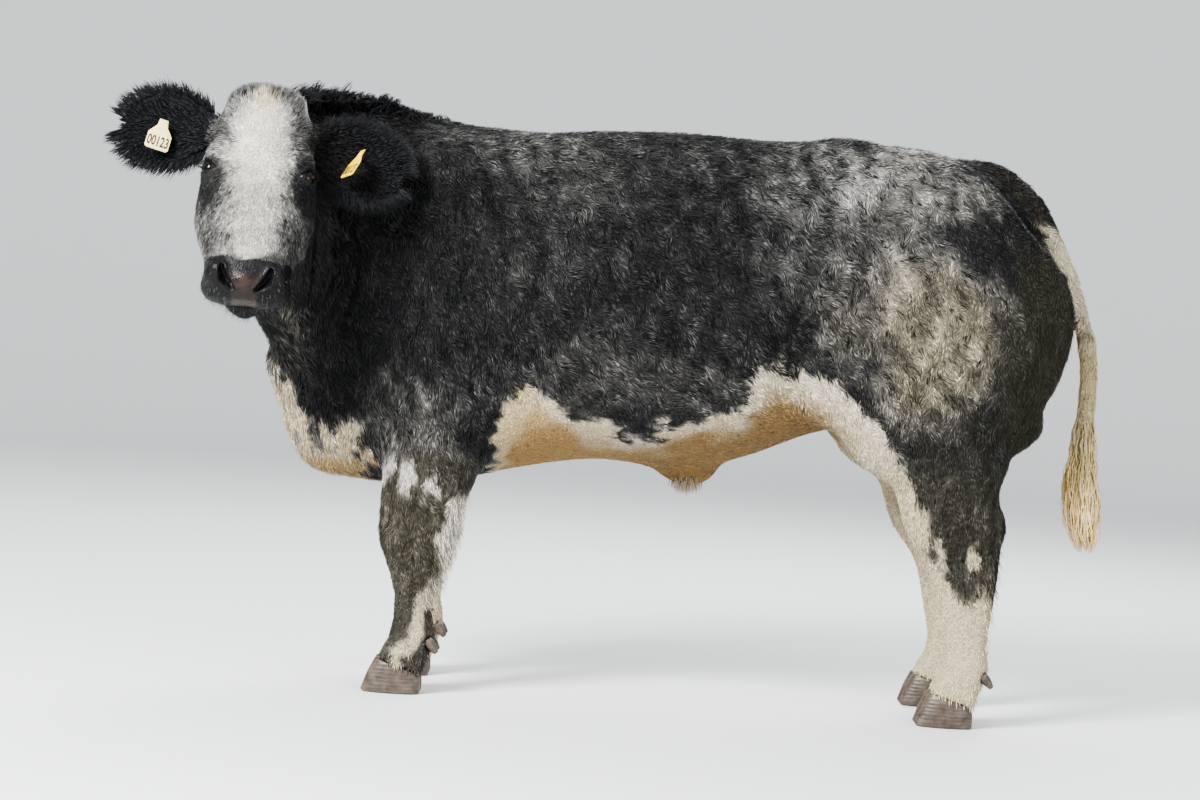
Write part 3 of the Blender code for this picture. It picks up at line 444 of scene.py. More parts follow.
def eye_frame(side, name):
    """Centre of the eyeball moved out to sit between the lids, and its outward, across and down axes."""
    low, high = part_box("eye_" + name)
    out = head_vector((side * EYE_OUT.x, EYE_OUT.y, EYE_OUT.z)).normalized()
    along = head_vector((0, 0, 1))
    down = (along - out * along.dot(out)).normalized()
    across = down.cross(out)
    if across.dot(head_vector((0, 1, 0))) < 0:
        across = -across
    return (low + high) / 2 + out * EYE_PROUD, out, across, down


def lid_edge(angle):
    """The almond between the lids: across and down at this angle."""
    across, down = np.cos(angle), np.sin(angle)
    arched = down * (1 - 0.30 * across**2)
    tall = EYE_OPEN[1] / 2 * arched * np.where(arched > 0, 0.92, 1.08)
    return EYE_OPEN[0] / 2 * across, tall + LID_SLANT * across


def ball_height(radius):
    """How far out the eyeball stands this far from its middle."""
    return np.sqrt(np.maximum(EYE_RADIUS**2 - radius**2, (0.25 * EYE_RADIUS) ** 2))


def lid_reach(angle):
    """How far from the eye's middle the lids begin and end at this angle."""
    wide, tall = lid_edge(angle)
    inner = np.hypot(wide, tall)
    return inner, inner + LID_REACH


def skin_heights(hide, eye):
    """How far out the hide stands round the eye, at the lids' outer edge."""
    centre, out, across, down = eye
    tree = BVHTree.FromObject(hide, bpy.context.evaluated_depsgraph_get())
    heights = []
    for n in range(LID_STATIONS):
        angle = 2 * math.pi * n / LID_STATIONS
        wide, tall = lid_edge(angle)
        way = (across * float(wide) + down * float(tall)).normalized()
        start = centre + way * float(lid_reach(angle)[1]) + out * 0.08
        hit, _, _, _ = tree.ray_cast(start, -out, 0.12)
        heights.append((hit - centre).dot(out) if hit else 0.0)
    heights = np.array(heights)
    for _ in range(3):
        heights = (np.roll(heights, 1) + heights + np.roll(heights, -1)) / 3
    return heights


def sink_hide(hide, eye, heights):
    """Draws the hide in behind the lids and the eyeball, so that neither is pierced."""
    centre, out, across, down = (np.array(v) for v in eye)
    points = points_of(hide)
    local = points - centre
    high, wide, tall = local @ out, local @ across, local @ down
    radius = np.hypot(wide, tall)
    angle = np.arctan2(tall, wide)
    inner, outer = lid_reach(angle)
    share = np.clip((radius - inner) / (outer - inner), 0, 1)
    stations = np.arange(LID_STATIONS + 1) / LID_STATIONS * 2 * math.pi
    rim = np.interp(angle % (2 * math.pi), stations, np.append(heights, heights[0]))
    limit = ball_height(np.minimum(radius, inner)) * (1 - share) + rim * share - 0.005 * (1 - share)
    near = (radius < outer) & (high > -0.01) & (high < 0.06)
    high_now = np.where(near, np.minimum(high, limit), high)
    set_points(hide, points + (high_now - high)[:, None] * out)


def lids(eye, heights, name):
    """Both lids as one skirt from the wet rim on the eyeball out to the hide."""
    centre, out, across, down = eye
    bm = bmesh.new()
    rings = []
    for step, lift, share, _ in LID_PROFILE:
        ring = []
        for n, hide_height in enumerate(heights):
            angle = 2 * math.pi * n / LID_STATIONS
            wide, tall = (float(v) for v in lid_edge(angle))
            inner = math.hypot(wide, tall)
            radius = inner + LID_REACH * step
            start = float(ball_height(min(radius, inner)))
            height = start * (1 - share) + hide_height * share + lift
            way = (across * wide + down * tall).normalized()
            ring.append(bm.verts.new(centre + way * radius + out * height))
        rings.append(ring)
    bridge(bm, rings)
    bm.normal_update()
    if sum(face.normal.dot(out) for face in bm.faces) < 0:
        bmesh.ops.reverse_faces(bm, faces=bm.faces)
    piece = from_bmesh(bm, "lids_" + name)
    keep_number(piece, "bare", np.repeat([row[3] for row in LID_PROFILE], LID_STATIONS))
    return modify(piece, "SOLIDIFY", thickness=LID_THICKNESS, offset=-1.0)


# The eyeball: its cornea's bulge, half width and half height of the pupil, and the iris's reach from
# its middle. Places on the back of the ball are given a number well outside the pupil.
CORNEA_BULGE = 0.0011
PUPIL_HALF = (0.0088, 0.0052)
IRIS_DEGREES = 40
BEHIND_BALL = 9


def eyeball(eye, name, finish):
    """A ball with a bulging cornea; how far each place is from the pupil's middle is kept on it."""
    centre, out, across, down = eye
    bpy.ops.mesh.primitive_uv_sphere_add(segments=64, ring_count=40, radius=EYE_RADIUS, location=centre)
    piece = settle(bpy.context.active_object)
    piece.name = piece.data.name = "eyeball_" + name
    points = points_of(piece)
    local = points - np.array(centre)
    gaze = np.array((out + across * 0.10 - down * 0.02).normalized())
    facing = (local @ gaze) / EYE_RADIUS
    bulge = ramp(facing, 0.72, 0.95) * CORNEA_BULGE
    set_points(piece, points + unit(local) * bulge[:, None])
    angle = np.degrees(np.arccos(np.clip(facing, -1, 1)))
    wide, tall = local @ np.array(across), local @ np.array(down)
    level = np.hypot(wide / PUPIL_HALF[0], tall / PUPIL_HALF[1])
    keep_number(piece, "from_pupil", np.where(facing > 0, level, BEHIND_BALL))
    keep_number(piece, "from_iris", angle / IRIS_DEGREES)
    piece.data.materials.append(finish)
    only(piece)
    bpy.ops.object.shade_smooth()
    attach(piece, "root")
    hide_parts("eye_" + name)
    return piece


# The hide: copies of the solids fused, smoothed, drawn in by the coat's depth and finished

# How much each part is smoothed, and the coat's depth over it
PART_SMOOTH = {TRUNK: 1.0, NECK: 0.8, HEAD: 0.20, LEG: 0.15, TAIL: 0.05}
PART_DEPTH = {TRUNK: 0.0045, NECK: 0.0035, HEAD: 0.0026, LEG: 0.0030, TAIL: 0.0010}
# How much of the smoothing the tail and its root are spared
TAIL_KEPT = 0.94


def nearest_parts(hide, sources):
    """For each vertex of the hide, shares of the parts of the beast around it."""
    verts, faces, owner = [], [], []
    for piece, part in sources:
        start = len(verts)
        verts += [v.co.copy() for v in piece.data.vertices]
        faces += [[start + i for i in p.vertices] for p in piece.data.polygons]
        owner += [part] * len(piece.data.polygons)
    tree = BVHTree.FromPolygons(verts, faces)
    found = [tree.find_nearest(Vector(point))[2] for point in points_of(hide)]
    shares = np.zeros((len(found), PARTS))
    shares[np.arange(len(found)), np.array(owner)[found]] = 1
    return shares


# The tail's flesh inside the switch: its middle, length, and radius at the foot and the top
CORE_MIDDLE = Vector((0.889, 0, 0.565))
CORE_LENGTH = 0.26
CORE_RADII = (0.010, 0.030)


def switch_core():
    low, high = CORE_RADII
    middle = ORIGIN + CORE_MIDDLE
    bpy.ops.mesh.primitive_cone_add(
        vertices=24, radius1=low, radius2=high, depth=CORE_LENGTH, location=middle
    )
    return settle(bpy.context.active_object)


# Middle of the hanging tail, level then x, and how thick its flesh is at each level
TAIL_LINE = (
    (0.44, 0.900), (0.52, 0.889), (0.59, 0.884), (0.655, 0.887), (0.73, 0.891),
    (0.80, 0.889), (0.858, 0.879), (0.935, 0.852), (1.01, 0.817), (1.08, 0.776),
)
TAIL_HALF = (
    (0.44, 0.008), (0.52, 0.016), (0.59, 0.0185), (0.80, 0.0190),
    (0.858, 0.0205), (0.935, 0.0250), (1.01, 0.0310), (1.08, 0.0370),
)


def slim_tail(hide):
    """Draws the hanging tail in to a smooth rope, which the solids make as thick as its hair."""
    points = points_of(hide)
    local = measured(points)
    middle = along_table(local[:, 2], TAIL_LINE)[0]
    half = along_table(local[:, 2], TAIL_HALF)[0]
    aside = np.column_stack((local[:, 0] - middle, local[:, 1]))
    reach = np.maximum(np.linalg.norm(aside, axis=1), 1e-6)
    here = (local[:, 0] > 0.80) * (reach < 0.06) * ramp(local[:, 2], 0.885, 0.855)
    points[:, :2] -= aside * (here * (1 - np.minimum(1, half / reach)))[:, None]
    behind = ramp(aside[:, 0] / reach, 0.0, 0.5) * (reach < 0.05) * (np.abs(local[:, 1]) < 0.04)
    behind *= ramp(local[:, 2], 0.80, 0.84) * ramp(local[:, 2], 1.06, 1.00)
    points[:, :2] += aside * (behind * np.maximum(0, half / reach - 1))[:, None]
    set_points(hide, points)


def fused_hide():
    """The flesh solids as one smooth skin, drawn in by the coat's depth, and the copies it was made of."""
    sources = [(solid_copy(node), part) for node, part in FLESH.items()]
    sources.append((switch_core(), TAIL))
    hide = joined([twin_of(piece) for piece, _ in sources], "hide")
    modify(hide, "REMESH", mode="VOXEL", voxel_size=HIDE_VOXEL)
    largest_only(hide)
    shares = spread_out(nearest_parts(hide, sources), edges_of(hide), FIRST_BLEND)
    smooth = sum(shares[:, part] * share for part, share in PART_SMOOTH.items())
    smooth *= 1 - TAIL_KEPT * tail_marks(measured(points_of(hide)))[0]
    group = weigh(hide, "smooth", smooth)
    modify(hide, "SMOOTH", factor=0.8, iterations=SMOOTH_PASSES, vertex_group=group)
    slim_tail(hide)
    depth = sum(shares[:, part] * share for part, share in PART_DEPTH.items())
    local = measured(points_of(hide))
    depth *= 0.45 + 0.55 * ramp(local[:, 2], 0.10, 0.40)
    set_points(hide, points_of(hide) - normals_of(hide) * depth[:, None])
    thin = weigh(hide, "thin", 1 - shares[:, HEAD])
    faces = len(hide.data.polygons) * 2
    modify(hide, "DECIMATE", ratio=HIDE_TRIANGLES / faces, vertex_group=thin, vertex_group_factor=1.0)
    hide.vertex_groups.clear()
    return hide, sources


def fine_muzzle(hide):
    """Splits the faces of the muzzle, for its finer shaping."""
    side, front, along = to_head(points_of(hide)).T
    muzzle = (along > 0.365) & (along < 0.52) & (abs(side) < 0.12) & (front > -0.16)
    faces = hide.data.polygons
    chosen = np.array([muzzle[list(face.vertices)].all() for face in faces])
    only(hide)
    bpy.ops.object.mode_set(mode="EDIT")
    bpy.ops.mesh.select_mode(type="FACE")
    bpy.ops.mesh.select_all(action="DESELECT")
    bpy.ops.object.mode_set(mode="OBJECT")
    faces.foreach_set("select", chosen)
    bpy.ops.object.mode_set(mode="EDIT")
    bpy.ops.mesh.subdivide(number_cuts=1, smoothness=0)
    bpy.ops.object.mode_set(mode="OBJECT")


# Pushes on the head's axes, for the animal's left and mirrored: centre, radii and way
FACE_PUSHES = (
    ((0.074, -0.072, 0.440), (0.030, 0.040, 0.034), (0.006, -0.002, 0.003)),
    ((0.062, -0.098, 0.448), (0.030, 0.026, 0.030), (0.005, -0.004, 0.005)),
    ((0.062, -0.012, 0.415), (0.022, 0.020, 0.024), (0.003, 0.004, 0.002)),
    ((0.000, -0.118, 0.458), (0.044, 0.026, 0.034), (0.000, -0.006, 0.014)),
)
# Middle line of a nostril from its top outwards to its bottom, half width along it and depth
NOSTRIL = (
    (0.0495, -0.017, 0.4225), (0.0440, -0.023, 0.4380), (0.0345, -0.029, 0.4500), (0.0250, -0.033, 0.4570),
)
NOSTRIL_HALF = ((0.0, 0.0070), (0.35, 0.0098), (0.7, 0.0085), (1.0, 0.0062))
NOSTRIL_DEPTH = 0.017
NOSTRIL_WAY = (0.18, -0.50, -0.85)
# The furrow between the lips: its place under the nose, half width and depth
MOUTH_FRONT = -0.104
MOUTH_HALF = 0.006
MOUTH_DEPTH = 0.007


def nostril_reach(local, side):
    """How far each place is from the nostril's middle line, as a share of its half width."""
    way = unit(np.array(NOSTRIL_WAY) * (side, 1, 1))
    path = np.array(NOSTRIL) * (side, 1, 1)
    best = np.full(len(local), 9.0)
    for n, (start, end) in enumerate(zip(path, path[1:])):
        reach = end - start
        share = np.clip((local - start) @ reach / (reach @ reach), 0, 1)
        gap = local - start - share[:, None] * reach
        gap = gap - (gap @ way)[:, None] * way
        half = along_table((n + share) / (len(path) - 1), NOSTRIL_HALF)[0]
        best = np.minimum(best, np.linalg.norm(gap, axis=1) / half)
    return best, way


def shape_face(hide):
    """Lips, chin, nostrils and the furrow of the mouth."""
    local = to_head(points_of(hide))
    for centre, radii, push in FACE_PUSHES:
        for side in (-1, 1) if centre[0] else (1,):
            share = falloff(local, (side * centre[0], *centre[1:]), radii)
            local += share[:, None] * np.array((side * push[0], push[1], push[2]))
    front = ramp(local[:, 2], 0.375, 0.395)
    for side in (-1, 1):
        reach, way = nostril_reach(local, side)
        outer = ramp(local[:, 0] * side, 0.030, 0.045)
        rim = np.exp(-(((reach - 1.35) / 0.32) ** 2)) * (0.0010 + 0.0022 * outer)
        pit = ramp(1 - reach, -0.05, 0.70) * NOSTRIL_DEPTH
        local += way * ((pit - rim) * front)[:, None]
    line = MOUTH_FRONT - 0.06 * (0.47 - local[:, 2]) + 0.004 * np.cos(local[:, 0] * 40)
    near = np.clip(1 - abs(local[:, 1] - line) / MOUTH_HALF, 0, 1)
    near *= ramp(local[:, 2], 0.335, 0.36)
    inward = unit(np.array((0.0, MOUTH_FRONT, 0.38)) - local)
    local += inward * (MOUTH_DEPTH * near)[:, None]
    set_points(hide, from_head(local))
    soft = ramp(local[:, 2], 0.37, 0.39) * (local[:, 1] > -0.16)
    modify(hide, "SMOOTH", factor=0.5, iterations=2, vertex_group=weigh(hide, "muzzle", soft))
    hide.vertex_groups.clear()


# Folds of loose skin on the neck: two ends and a middle, half width and depth
NECK_FOLDS = (
    ((-0.775, -0.265, 1.06), (-0.760, -0.270, 0.95), (-0.790, -0.235, 0.83), 0.018, 0.014),
    ((-0.742, -0.270, 1.04), (-0.722, -0.275, 0.90), (-0.755, -0.240, 0.76), 0.017, 0.011),
    ((-0.812, -0.225, 0.98), (-0.815, -0.225, 0.88), (-0.838, -0.190, 0.76), 0.016, 0.012),
)


def fold_neck(hide):
    """Presses the folds into both sides of the neck, each with a ridge to either side."""
    points, normals = points_of(hide), normals_of(hide)
    x, y, level = measured(points).T
    for mirror in (1, -1):
        for first, middle, last, half, depth in NECK_FOLDS:
            keys = np.array((last, middle, first))
            away = (x - np.interp(level, keys[:, 2], keys[:, 0])) / half
            near = np.clip(1 - abs(away), 0, 1)
            ends = ramp(level, last[2] - 0.03, last[2] + 0.05)
            ends = ends * ramp(level, first[2] + 0.03, first[2] - 0.05)
            ridge = np.cos(np.clip(away, -1, 1) * math.pi * 1.5)
            points -= normals * (depth * near * ends * (y * mirror < -0.05) * ridge)[:, None]
    set_points(hide, points)


# Markings: how much of the hair is white, how warm that white is and how brown the black is

# Patches of the roan: x, z, reach along x, reach along z, white, warmth
TRUNK_PATCHES = (
    (-0.36, 1.20, 0.24, 0.09, 0.084, 0.1),
    (-0.27, 1.11, 0.15, 0.10, 0.052, 0.1),
    (-0.32, 0.95, 0.17, 0.08, 0.034, 0.1),
    (-0.20, 0.72, 0.17, 0.10, 0.058, 0.2),
    (-0.42, 0.68, 0.15, 0.07, 0.036, 0.1),
    (0.02, 1.20, 0.20, 0.05, 0.045, 0.1),
    (0.24, 1.14, 0.16, 0.16, 0.095, 0.1),
    (0.38, 1.16, 0.17, 0.11, 0.235, 0.1),
    (0.46, 1.225, 0.14, 0.045, 0.290, 0.2),
    (0.48, 1.15, 0.15, 0.05, 0.170, 0.2),
    (0.57, 1.14, 0.11, 0.05, 0.170, 0.2),
    (0.22, 0.97, 0.12, 0.11, 0.062, 0.1),
    (0.40, 1.02, 0.16, 0.12, 0.120, 0.2),
    (0.36, 0.86, 0.12, 0.14, 0.110, 0.4),
    (0.55, 0.86, 0.14, 0.15, 0.190, 0.7),
    (0.48, 0.85, 0.130, 0.19, 0.260, 0.7),
    (-0.60, 0.60, 0.14, 0.13, 0.090, 0.2),
    (-0.56, 0.50, 0.14, 0.07, 0.125, 0.2),
    (-0.87, 0.83, 0.06, 0.20, 0.090, 0.4),
    (-0.80, 0.97, 0.06, 0.13, 0.022, 0.4),
    (0.50, 0.74, 0.12, 0.12, 0.230, 0.7),
    (0.00, 0.70, 0.16, 0.08, 0.062, 0.2),
)
# Upper edge of the white underside, x then z
WHITE_EDGE = (
    (-0.44, 0.46), (-0.412, 0.61), (-0.388, 0.668), (-0.34, 0.690), (-0.265, 0.650), (-0.215, 0.622),
    (-0.144, 0.606), (-0.018, 0.616), (0.060, 0.662), (0.106, 0.694), (0.146, 0.752), (0.230, 0.772),
    (0.317, 0.736), (0.385, 0.67), (0.44, 0.60), (0.48, 0.50), (0.52, 0.43), (0.56, 0.36),
    (0.60, 0.33), (0.66, 0.28), (0.80, 0.26),
)
# How far below that edge the white turns tan, x then depth
BELLY_MARGIN = (
    (-0.42, 0.120), (-0.34, 0.055), (-0.27, 0.010), (0.04, 0.008), (0.13, 0.040), (0.36, 0.060),
)
# Upper edge of the cream brisket, x then z
BRISKET_EDGE = (
    (-0.94, 0.71), (-0.88, 0.68), (-0.85, 0.635), (-0.82, 0.605), (-0.78, 0.60), (-0.74, 0.605),
    (-0.71, 0.585), (-0.69, 0.55), (-0.675, 0.50), (-0.66, 0.44), (-0.62, 0.38),
)
# White of the dark trunk, and how much more of it there is behind the shoulder
TRUNK_WHITE = 0.010
BARREL_WHITE = 0.011
# White of the underside and of the brisket where it is whitest
UNDER_WHITE = 0.94
BREAST_WHITE = 0.80
# Where the dark band crosses the brisket
BREAST_BAND = -0.806


def streaked(local, size, seed):
    """Ripples drawn out down the body, as the hair hangs."""
    return ripples(local * np.array((1.0, 1.0, 0.30)), size, seed)


def toward(value, goal, share):
    """The value moved by this share of the way to the goal."""
    return value + (goal - value) * share


def trunk_marks(local):
    """White share, warmth, tan and brown for the trunk and neck."""
    x, z = local[:, 0].copy(), local[:, 2].copy()
    # The far side's marks stand a little further forward, and every edge wanders
    x += np.where(local[:, 1] < 0, 0, 0.03)
    x += 0.013 * ripples(local, 0.09, 3) + 0.006 * ripples(local, 0.03, 4)
    z += 0.013 * ripples(local, 0.09, 5) + 0.006 * ripples(local, 0.03, 6)
    # The roan: a dark ground with whiter patches, in streaks
    white = TRUNK_WHITE + BARREL_WHITE * ramp(x, -0.66, -0.36)
    warm = np.full(len(local), 0.1)
    for cx, cz, rx, rz, share, warmth in TRUNK_PATCHES:
        here = ramp(np.hypot((x - cx) / rx, (z - cz) / rz), 1.2, 0.25)
        white = np.where(white < share, toward(white, share, here), white)
        warm = toward(warm, warmth, here)
    white *= np.exp(0.40 * streaked(local, 0.015, 9) + 0.10 * ripples(local, 0.05, 10))
    # The buttocks are darker and browner, and the tail's root a little darker
    rear = ramp(x, 0.62, 0.74) * ramp(z, 1.10, 1.00) * ramp(z, 0.58, 0.66)
    dock = ramp(x, 0.50, 0.56) * ramp(z - (1.225 - 0.75 * (x - 0.54)), -0.075, -0.05) * (z > 1.04)
    white *= (1 - 0.60 * rear) * (1 - 0.15 * dock)
    brown = 0.65 * rear + 0.3 * ramp(z, 0.50, 0.36) + 0.35 * ramp(x, 0.30, 0.50) * ramp(z, 1.0, 0.8)
    # The white underside, over which black hair hangs in points, and its tan middle
    teeth = np.abs(streaked(local, 0.020, 12)) * 0.012
    edge = along_table(x, WHITE_EDGE)[0]
    under = ramp(edge - teeth - z, -0.005, 0.007) * ramp(x, -0.432, -0.414)
    white = toward(white, UNDER_WHITE, under)
    warm = toward(warm, 0.60 + 0.35 * ramp(x, -0.28, -0.36), under)
    margin = along_table(local[:, 0], BELLY_MARGIN)[0]
    tan = under * ramp(local[:, 0], 0.42, 0.30) * ramp(edge - margin - z, -0.020, 0.070)
    tan = np.maximum(tan, 0.22 * under * ramp(x, -0.24, -0.34))
    # Painted shade: the tan middle of the belly is darkened, the more so towards the middle of the barrel
    white *= 1 - (0.22 + 0.20 * ramp(x, -0.22, -0.04)) * tan
    # The cream brisket with its dark band and dark streaks, tan below
    rim = along_table(x, BRISKET_EDGE)[0]
    breast = ramp(rim - 1.6 * teeth - z, -0.010, 0.022) * ramp(x, -0.60, -0.64)
    breast *= 1 - 0.85 * ramp(np.abs(x - BREAST_BAND), 0.024, 0.012) * ramp(z, 0.505, 0.54)
    breast *= 1 - 0.40 * ramp(streaked(local, 0.034, 13), 0.95, 1.35) * ramp(z, 0.50, 0.54)
    white = toward(white, BREAST_WHITE, breast)
    warm = toward(warm, 0.85, breast)
    tan = np.maximum(tan, 0.75 * breast * ramp(z, 0.530, 0.480))
    return white, warm, tan, brown


# White patches of the forearm and above the hock: x, z and reach along each
LEG_PATCHES = (
    (-0.648, 0.490, 0.021, 0.050), (-0.600, 0.486, 0.024, 0.042), (-0.542, 0.452, 0.018, 0.020),
    (0.628, 0.372, 0.010, 0.018),
)
# White of the legs where they are whitest, and how high the knee stands
LEG_WHITE = 0.90
KNEE_LEVEL = 0.34


def leg_marks(local):
    """White share, warmth and brown of the four legs."""
    x, y, z = local[:, 0].copy(), local[:, 1], local[:, 2].copy()
    x += 0.006 * ripples(local, 0.05, 23) + 0.003 * ripples(local, 0.015, 24)
    z += 0.010 * ripples(local, 0.05, 25)
    inner, far, fore = ramp(np.abs(y), 0.150, 0.120), y > 0, x < 0
    knee = ramp(np.abs(z - KNEE_LEVEL), 0.14, 0.08)
    white = np.where(fore, 0.058, 0.045)
    warm = np.full(len(x), 0.45)
    brown = np.where(fore, 0.45 + 0.55 * knee, 0.45)
    # The forelegs: white behind the knee, and a streak that runs forward down the cannon
    fringe = ramp(x - np.interp(z, (0.22, 0.33, 0.42), (-0.519, -0.512, -0.505)), -0.008, 0.010)
    fringe *= ramp(z, 0.46, 0.41) * ramp(z, 0.20, 0.25)
    streak = ramp(np.abs(x - (-0.553 + 0.41 * (z - 0.163))), 0.025, 0.012) * ramp(z, 0.28, 0.22)
    white_fore = np.maximum(0.95 * fringe, 0.80 * streak)
    # The hind legs: white in front with a ragged edge, all round the cannon, and on the inner face
    ragged = 0.010 * ripples(local, 0.035, 27)
    front_edge = ragged + np.interp(z, (0.10, 0.30, 0.39, 0.47, 0.60), (0.90, 0.60, 0.545, 0.500, 0.460))
    white_hind = np.maximum.reduce(
        [ramp(front_edge - x, -0.010, 0.010), ramp(z, 0.30, 0.25), 0.8 * inner * ramp(z, 0.55, 0.45)]
    )
    pale = np.where(fore, white_fore, white_hind)
    # Lone patches, and the far legs, which are whiter behind and darker in front
    for px, pz, rx, rz in LEG_PATCHES:
        pale = np.maximum(pale, ramp(np.hypot((x - px) / rx, (z - pz) / rz), 1.15, 0.75))
    pale = np.where(far & ~fore, np.maximum(pale, ramp(z, 0.55, 0.42)), pale)
    pale = np.where(far & fore, np.maximum(0.9 * pale, ramp(z, 0.30, 0.24)), pale)
    white = toward(white * np.exp(0.38 * streaked(local, 0.018, 26)), LEG_WHITE, pale)
    warm = toward(warm, np.where(fore & ~far, 0.30 + 0.50 * streak, 0.80), pale)
    return white, warm, brown


# Middle of the tail as it leaves the rump, z then x
DOCK_LINE = (
    (0.80, 0.889), (0.858, 0.878), (0.935, 0.848), (1.01, 0.814),
    (1.08, 0.774), (1.16, 0.722), (1.20, 0.655),
)


def tail_marks(local):
    """How much of the tail each place is, with the tail's white share and warmth."""
    x, y, z = local.T
    behind = (x - along_table(z, DOCK_LINE)[0]) * (1 - 0.18 * ramp(z, 0.86, 0.95))
    tail = ramp(np.hypot(np.abs(behind), y), 0.048, 0.038) * ramp(x, 0.60, 0.66)
    ragged = 0.012 * ripples(local, 0.03, 33)
    pale = ramp(z + ragged, 1.125, 1.065) * ramp(behind + ragged, -0.022, -0.008)
    pale = np.maximum(pale, ramp(z, 0.90, 0.84))
    return tail, 0.03 + 0.88 * pale, 0.70 + 0.3 * ramp(z, 0.90, 0.80)


# Blaze: how far down the head, then its reach to the animal's right and left
BLAZE = (
    (-0.02, 0.022, 0.024), (0.01, 0.038, 0.036), (0.040, 0.056, 0.046), (0.063, 0.050, 0.054),
    (0.104, 0.062, 0.056), (0.150, 0.076, 0.072), (0.198, 0.060, 0.060), (0.239, 0.057, 0.060),
    (0.28, 0.060, 0.062), (0.337, 0.064, 0.060), (0.370, 0.056, 0.056), (0.388, 0.036, 0.036),
    (0.400, 0.0, 0.0),
)
# White of the blaze, and of the crown behind it
BLAZE_WHITE = 0.95
CROWN_WHITE = 0.17


def face_marks(local):
    """White share, warmth and brown on the head's axes."""
    side = local[:, 0] + 0.006 * ripples(local, 0.035, 43) + 0.003 * ripples(local, 0.012, 44)
    along = local[:, 2] + 0.006 * ripples(local, 0.035, 45)
    right, left = along_table(along, BLAZE)
    inside = np.where(side < 0, right + side, left - side)
    front = ramp(local[:, 1], -0.10, -0.05)
    blaze = ramp(inside, -0.016, 0.042) * front * ramp(along, 0.0, 0.03)
    # The cheeks are grey, lighter on the right, and dark round the eyes and the ears' roots
    white = np.where(side < 0, 0.27, 0.14) * np.exp(0.22 * ripples(local, 0.05, 46))
    white = white * (0.25 + 0.75 * ramp(local[:, 1], -0.18, -0.08))
    eye = ramp(np.hypot((np.abs(side) - 0.100) / 0.038, (along - 0.215) / 0.066), 1.25, 0.55)
    root = ramp(np.hypot((np.abs(side) - 0.108) / 0.038, (along - 0.085) / 0.055), 1.2, 0.4)
    white = white * (1 - 0.85 * eye) * (1 - 0.75 * root)
    white = toward(white, BLAZE_WHITE, blaze)
    white *= 1 - 0.24 * ramp(along, 0.19, 0.26)
    crown = ramp(along, 0.052, 0.010)
    white = toward(white, CROWN_WHITE, crown)
    behind = ramp(local[:, 1], -0.08, -0.13) * ramp(along, 0.16, 0.10)
    white = np.clip(white * (1 - 0.8 * behind), 0.02, 1)
    bare, _ = muzzle_mask(local)
    white = toward(white, 0.01, ramp(bare, 0.2, 0.6))
    warm = 0.10 + 0.16 * blaze + 0.45 * ramp(np.hypot(side / 0.05, (along - 0.03) / 0.045), 1.0, 0.2)
    return white, warm, 0.25 * crown


# Half width of the wet pad of the nose, from how far down the head
PAD_HALF = ((0.400, 0.050), (0.4585, 0.0255), (0.475, 0.022))


def muzzle_mask(local):
    """The bare black skin of the nose and lips, and the wet pad between the nostrils."""
    across, front, along = np.abs(local[:, 0]), local[:, 1], local[:, 2]
    edge = 0.399 - 0.14 * across - 0.25 * np.clip(-0.06 - front, 0, 0.2)
    edge += 0.0025 * ripples(local, 0.02, 52)
    bare = ramp(along - edge, -0.004, 0.007)
    half = along_table(along, PAD_HALF)[0]
    pad = ramp(across - half, 0.006, -0.003)
    pad *= ramp(front, -0.092, -0.076) * ramp(along, 0.418, 0.446)
    for side in (-1, 1):
        reach, _ = nostril_reach(local, side)
        pad *= ramp(reach, 1.15, 1.55)
    return bare, bare * pad


# The hair's pigments, the black's slight blue being painted sheen of the sky on the black hair, and the
# white of the black ears
BLACK = np.array((0.0066, 0.0069, 0.0082))
BROWN = np.array((0.038, 0.035, 0.022))
WHITE = np.array((0.89, 0.88, 0.85))
CREAM = np.array((0.80, 0.66, 0.40))
TAN = np.array((0.58, 0.37, 0.16))
GOLD = np.array((0.62, 0.43, 0.17))
EAR_WHITE = 0.001


def marks(points, shares):
    """White, warmth, tan and brown of the coat at each place, whatever part it is on."""
    local = measured(points)
    white, warm, tan, brown = trunk_marks(local)
    leg_white, leg_warm, leg_brown = leg_marks(local)
    leg = shares[:, LEG] * ramp(local[:, 2], 0.60, 0.52)
    tail, tail_white, tail_warm = tail_marks(local)
    tail = np.maximum(shares[:, TAIL], tail)
    face_white, face_warm, face_brown = face_marks(to_head(points))
    head = shares[:, HEAD] + shares[:, LID]
    fields = (
        (white, leg_white, tail_white, face_white),
        (warm, leg_warm, tail_warm, face_warm),
        (tan, 0, 0, 0),
        (brown, leg_brown, 0, face_brown),
    )
    found = []
    for trunk, legs, tails, face in fields:
        found.append(toward(toward(toward(trunk, legs, leg), tails, tail), face, head))
    found[0] = found[0] * (1 - shares[:, EAR]) + EAR_WHITE * shares[:, EAR]
    return found


def hair_colour(white, warm, tan, brown):
    white, warm, tan, brown = (np.clip(v, 0, 1)[:, None] for v in (white, warm, tan, brown))
    pale = toward(toward(WHITE, CREAM, warm), TAN, tan)
    return toward(toward(BLACK, BROWN, brown), pale, white)


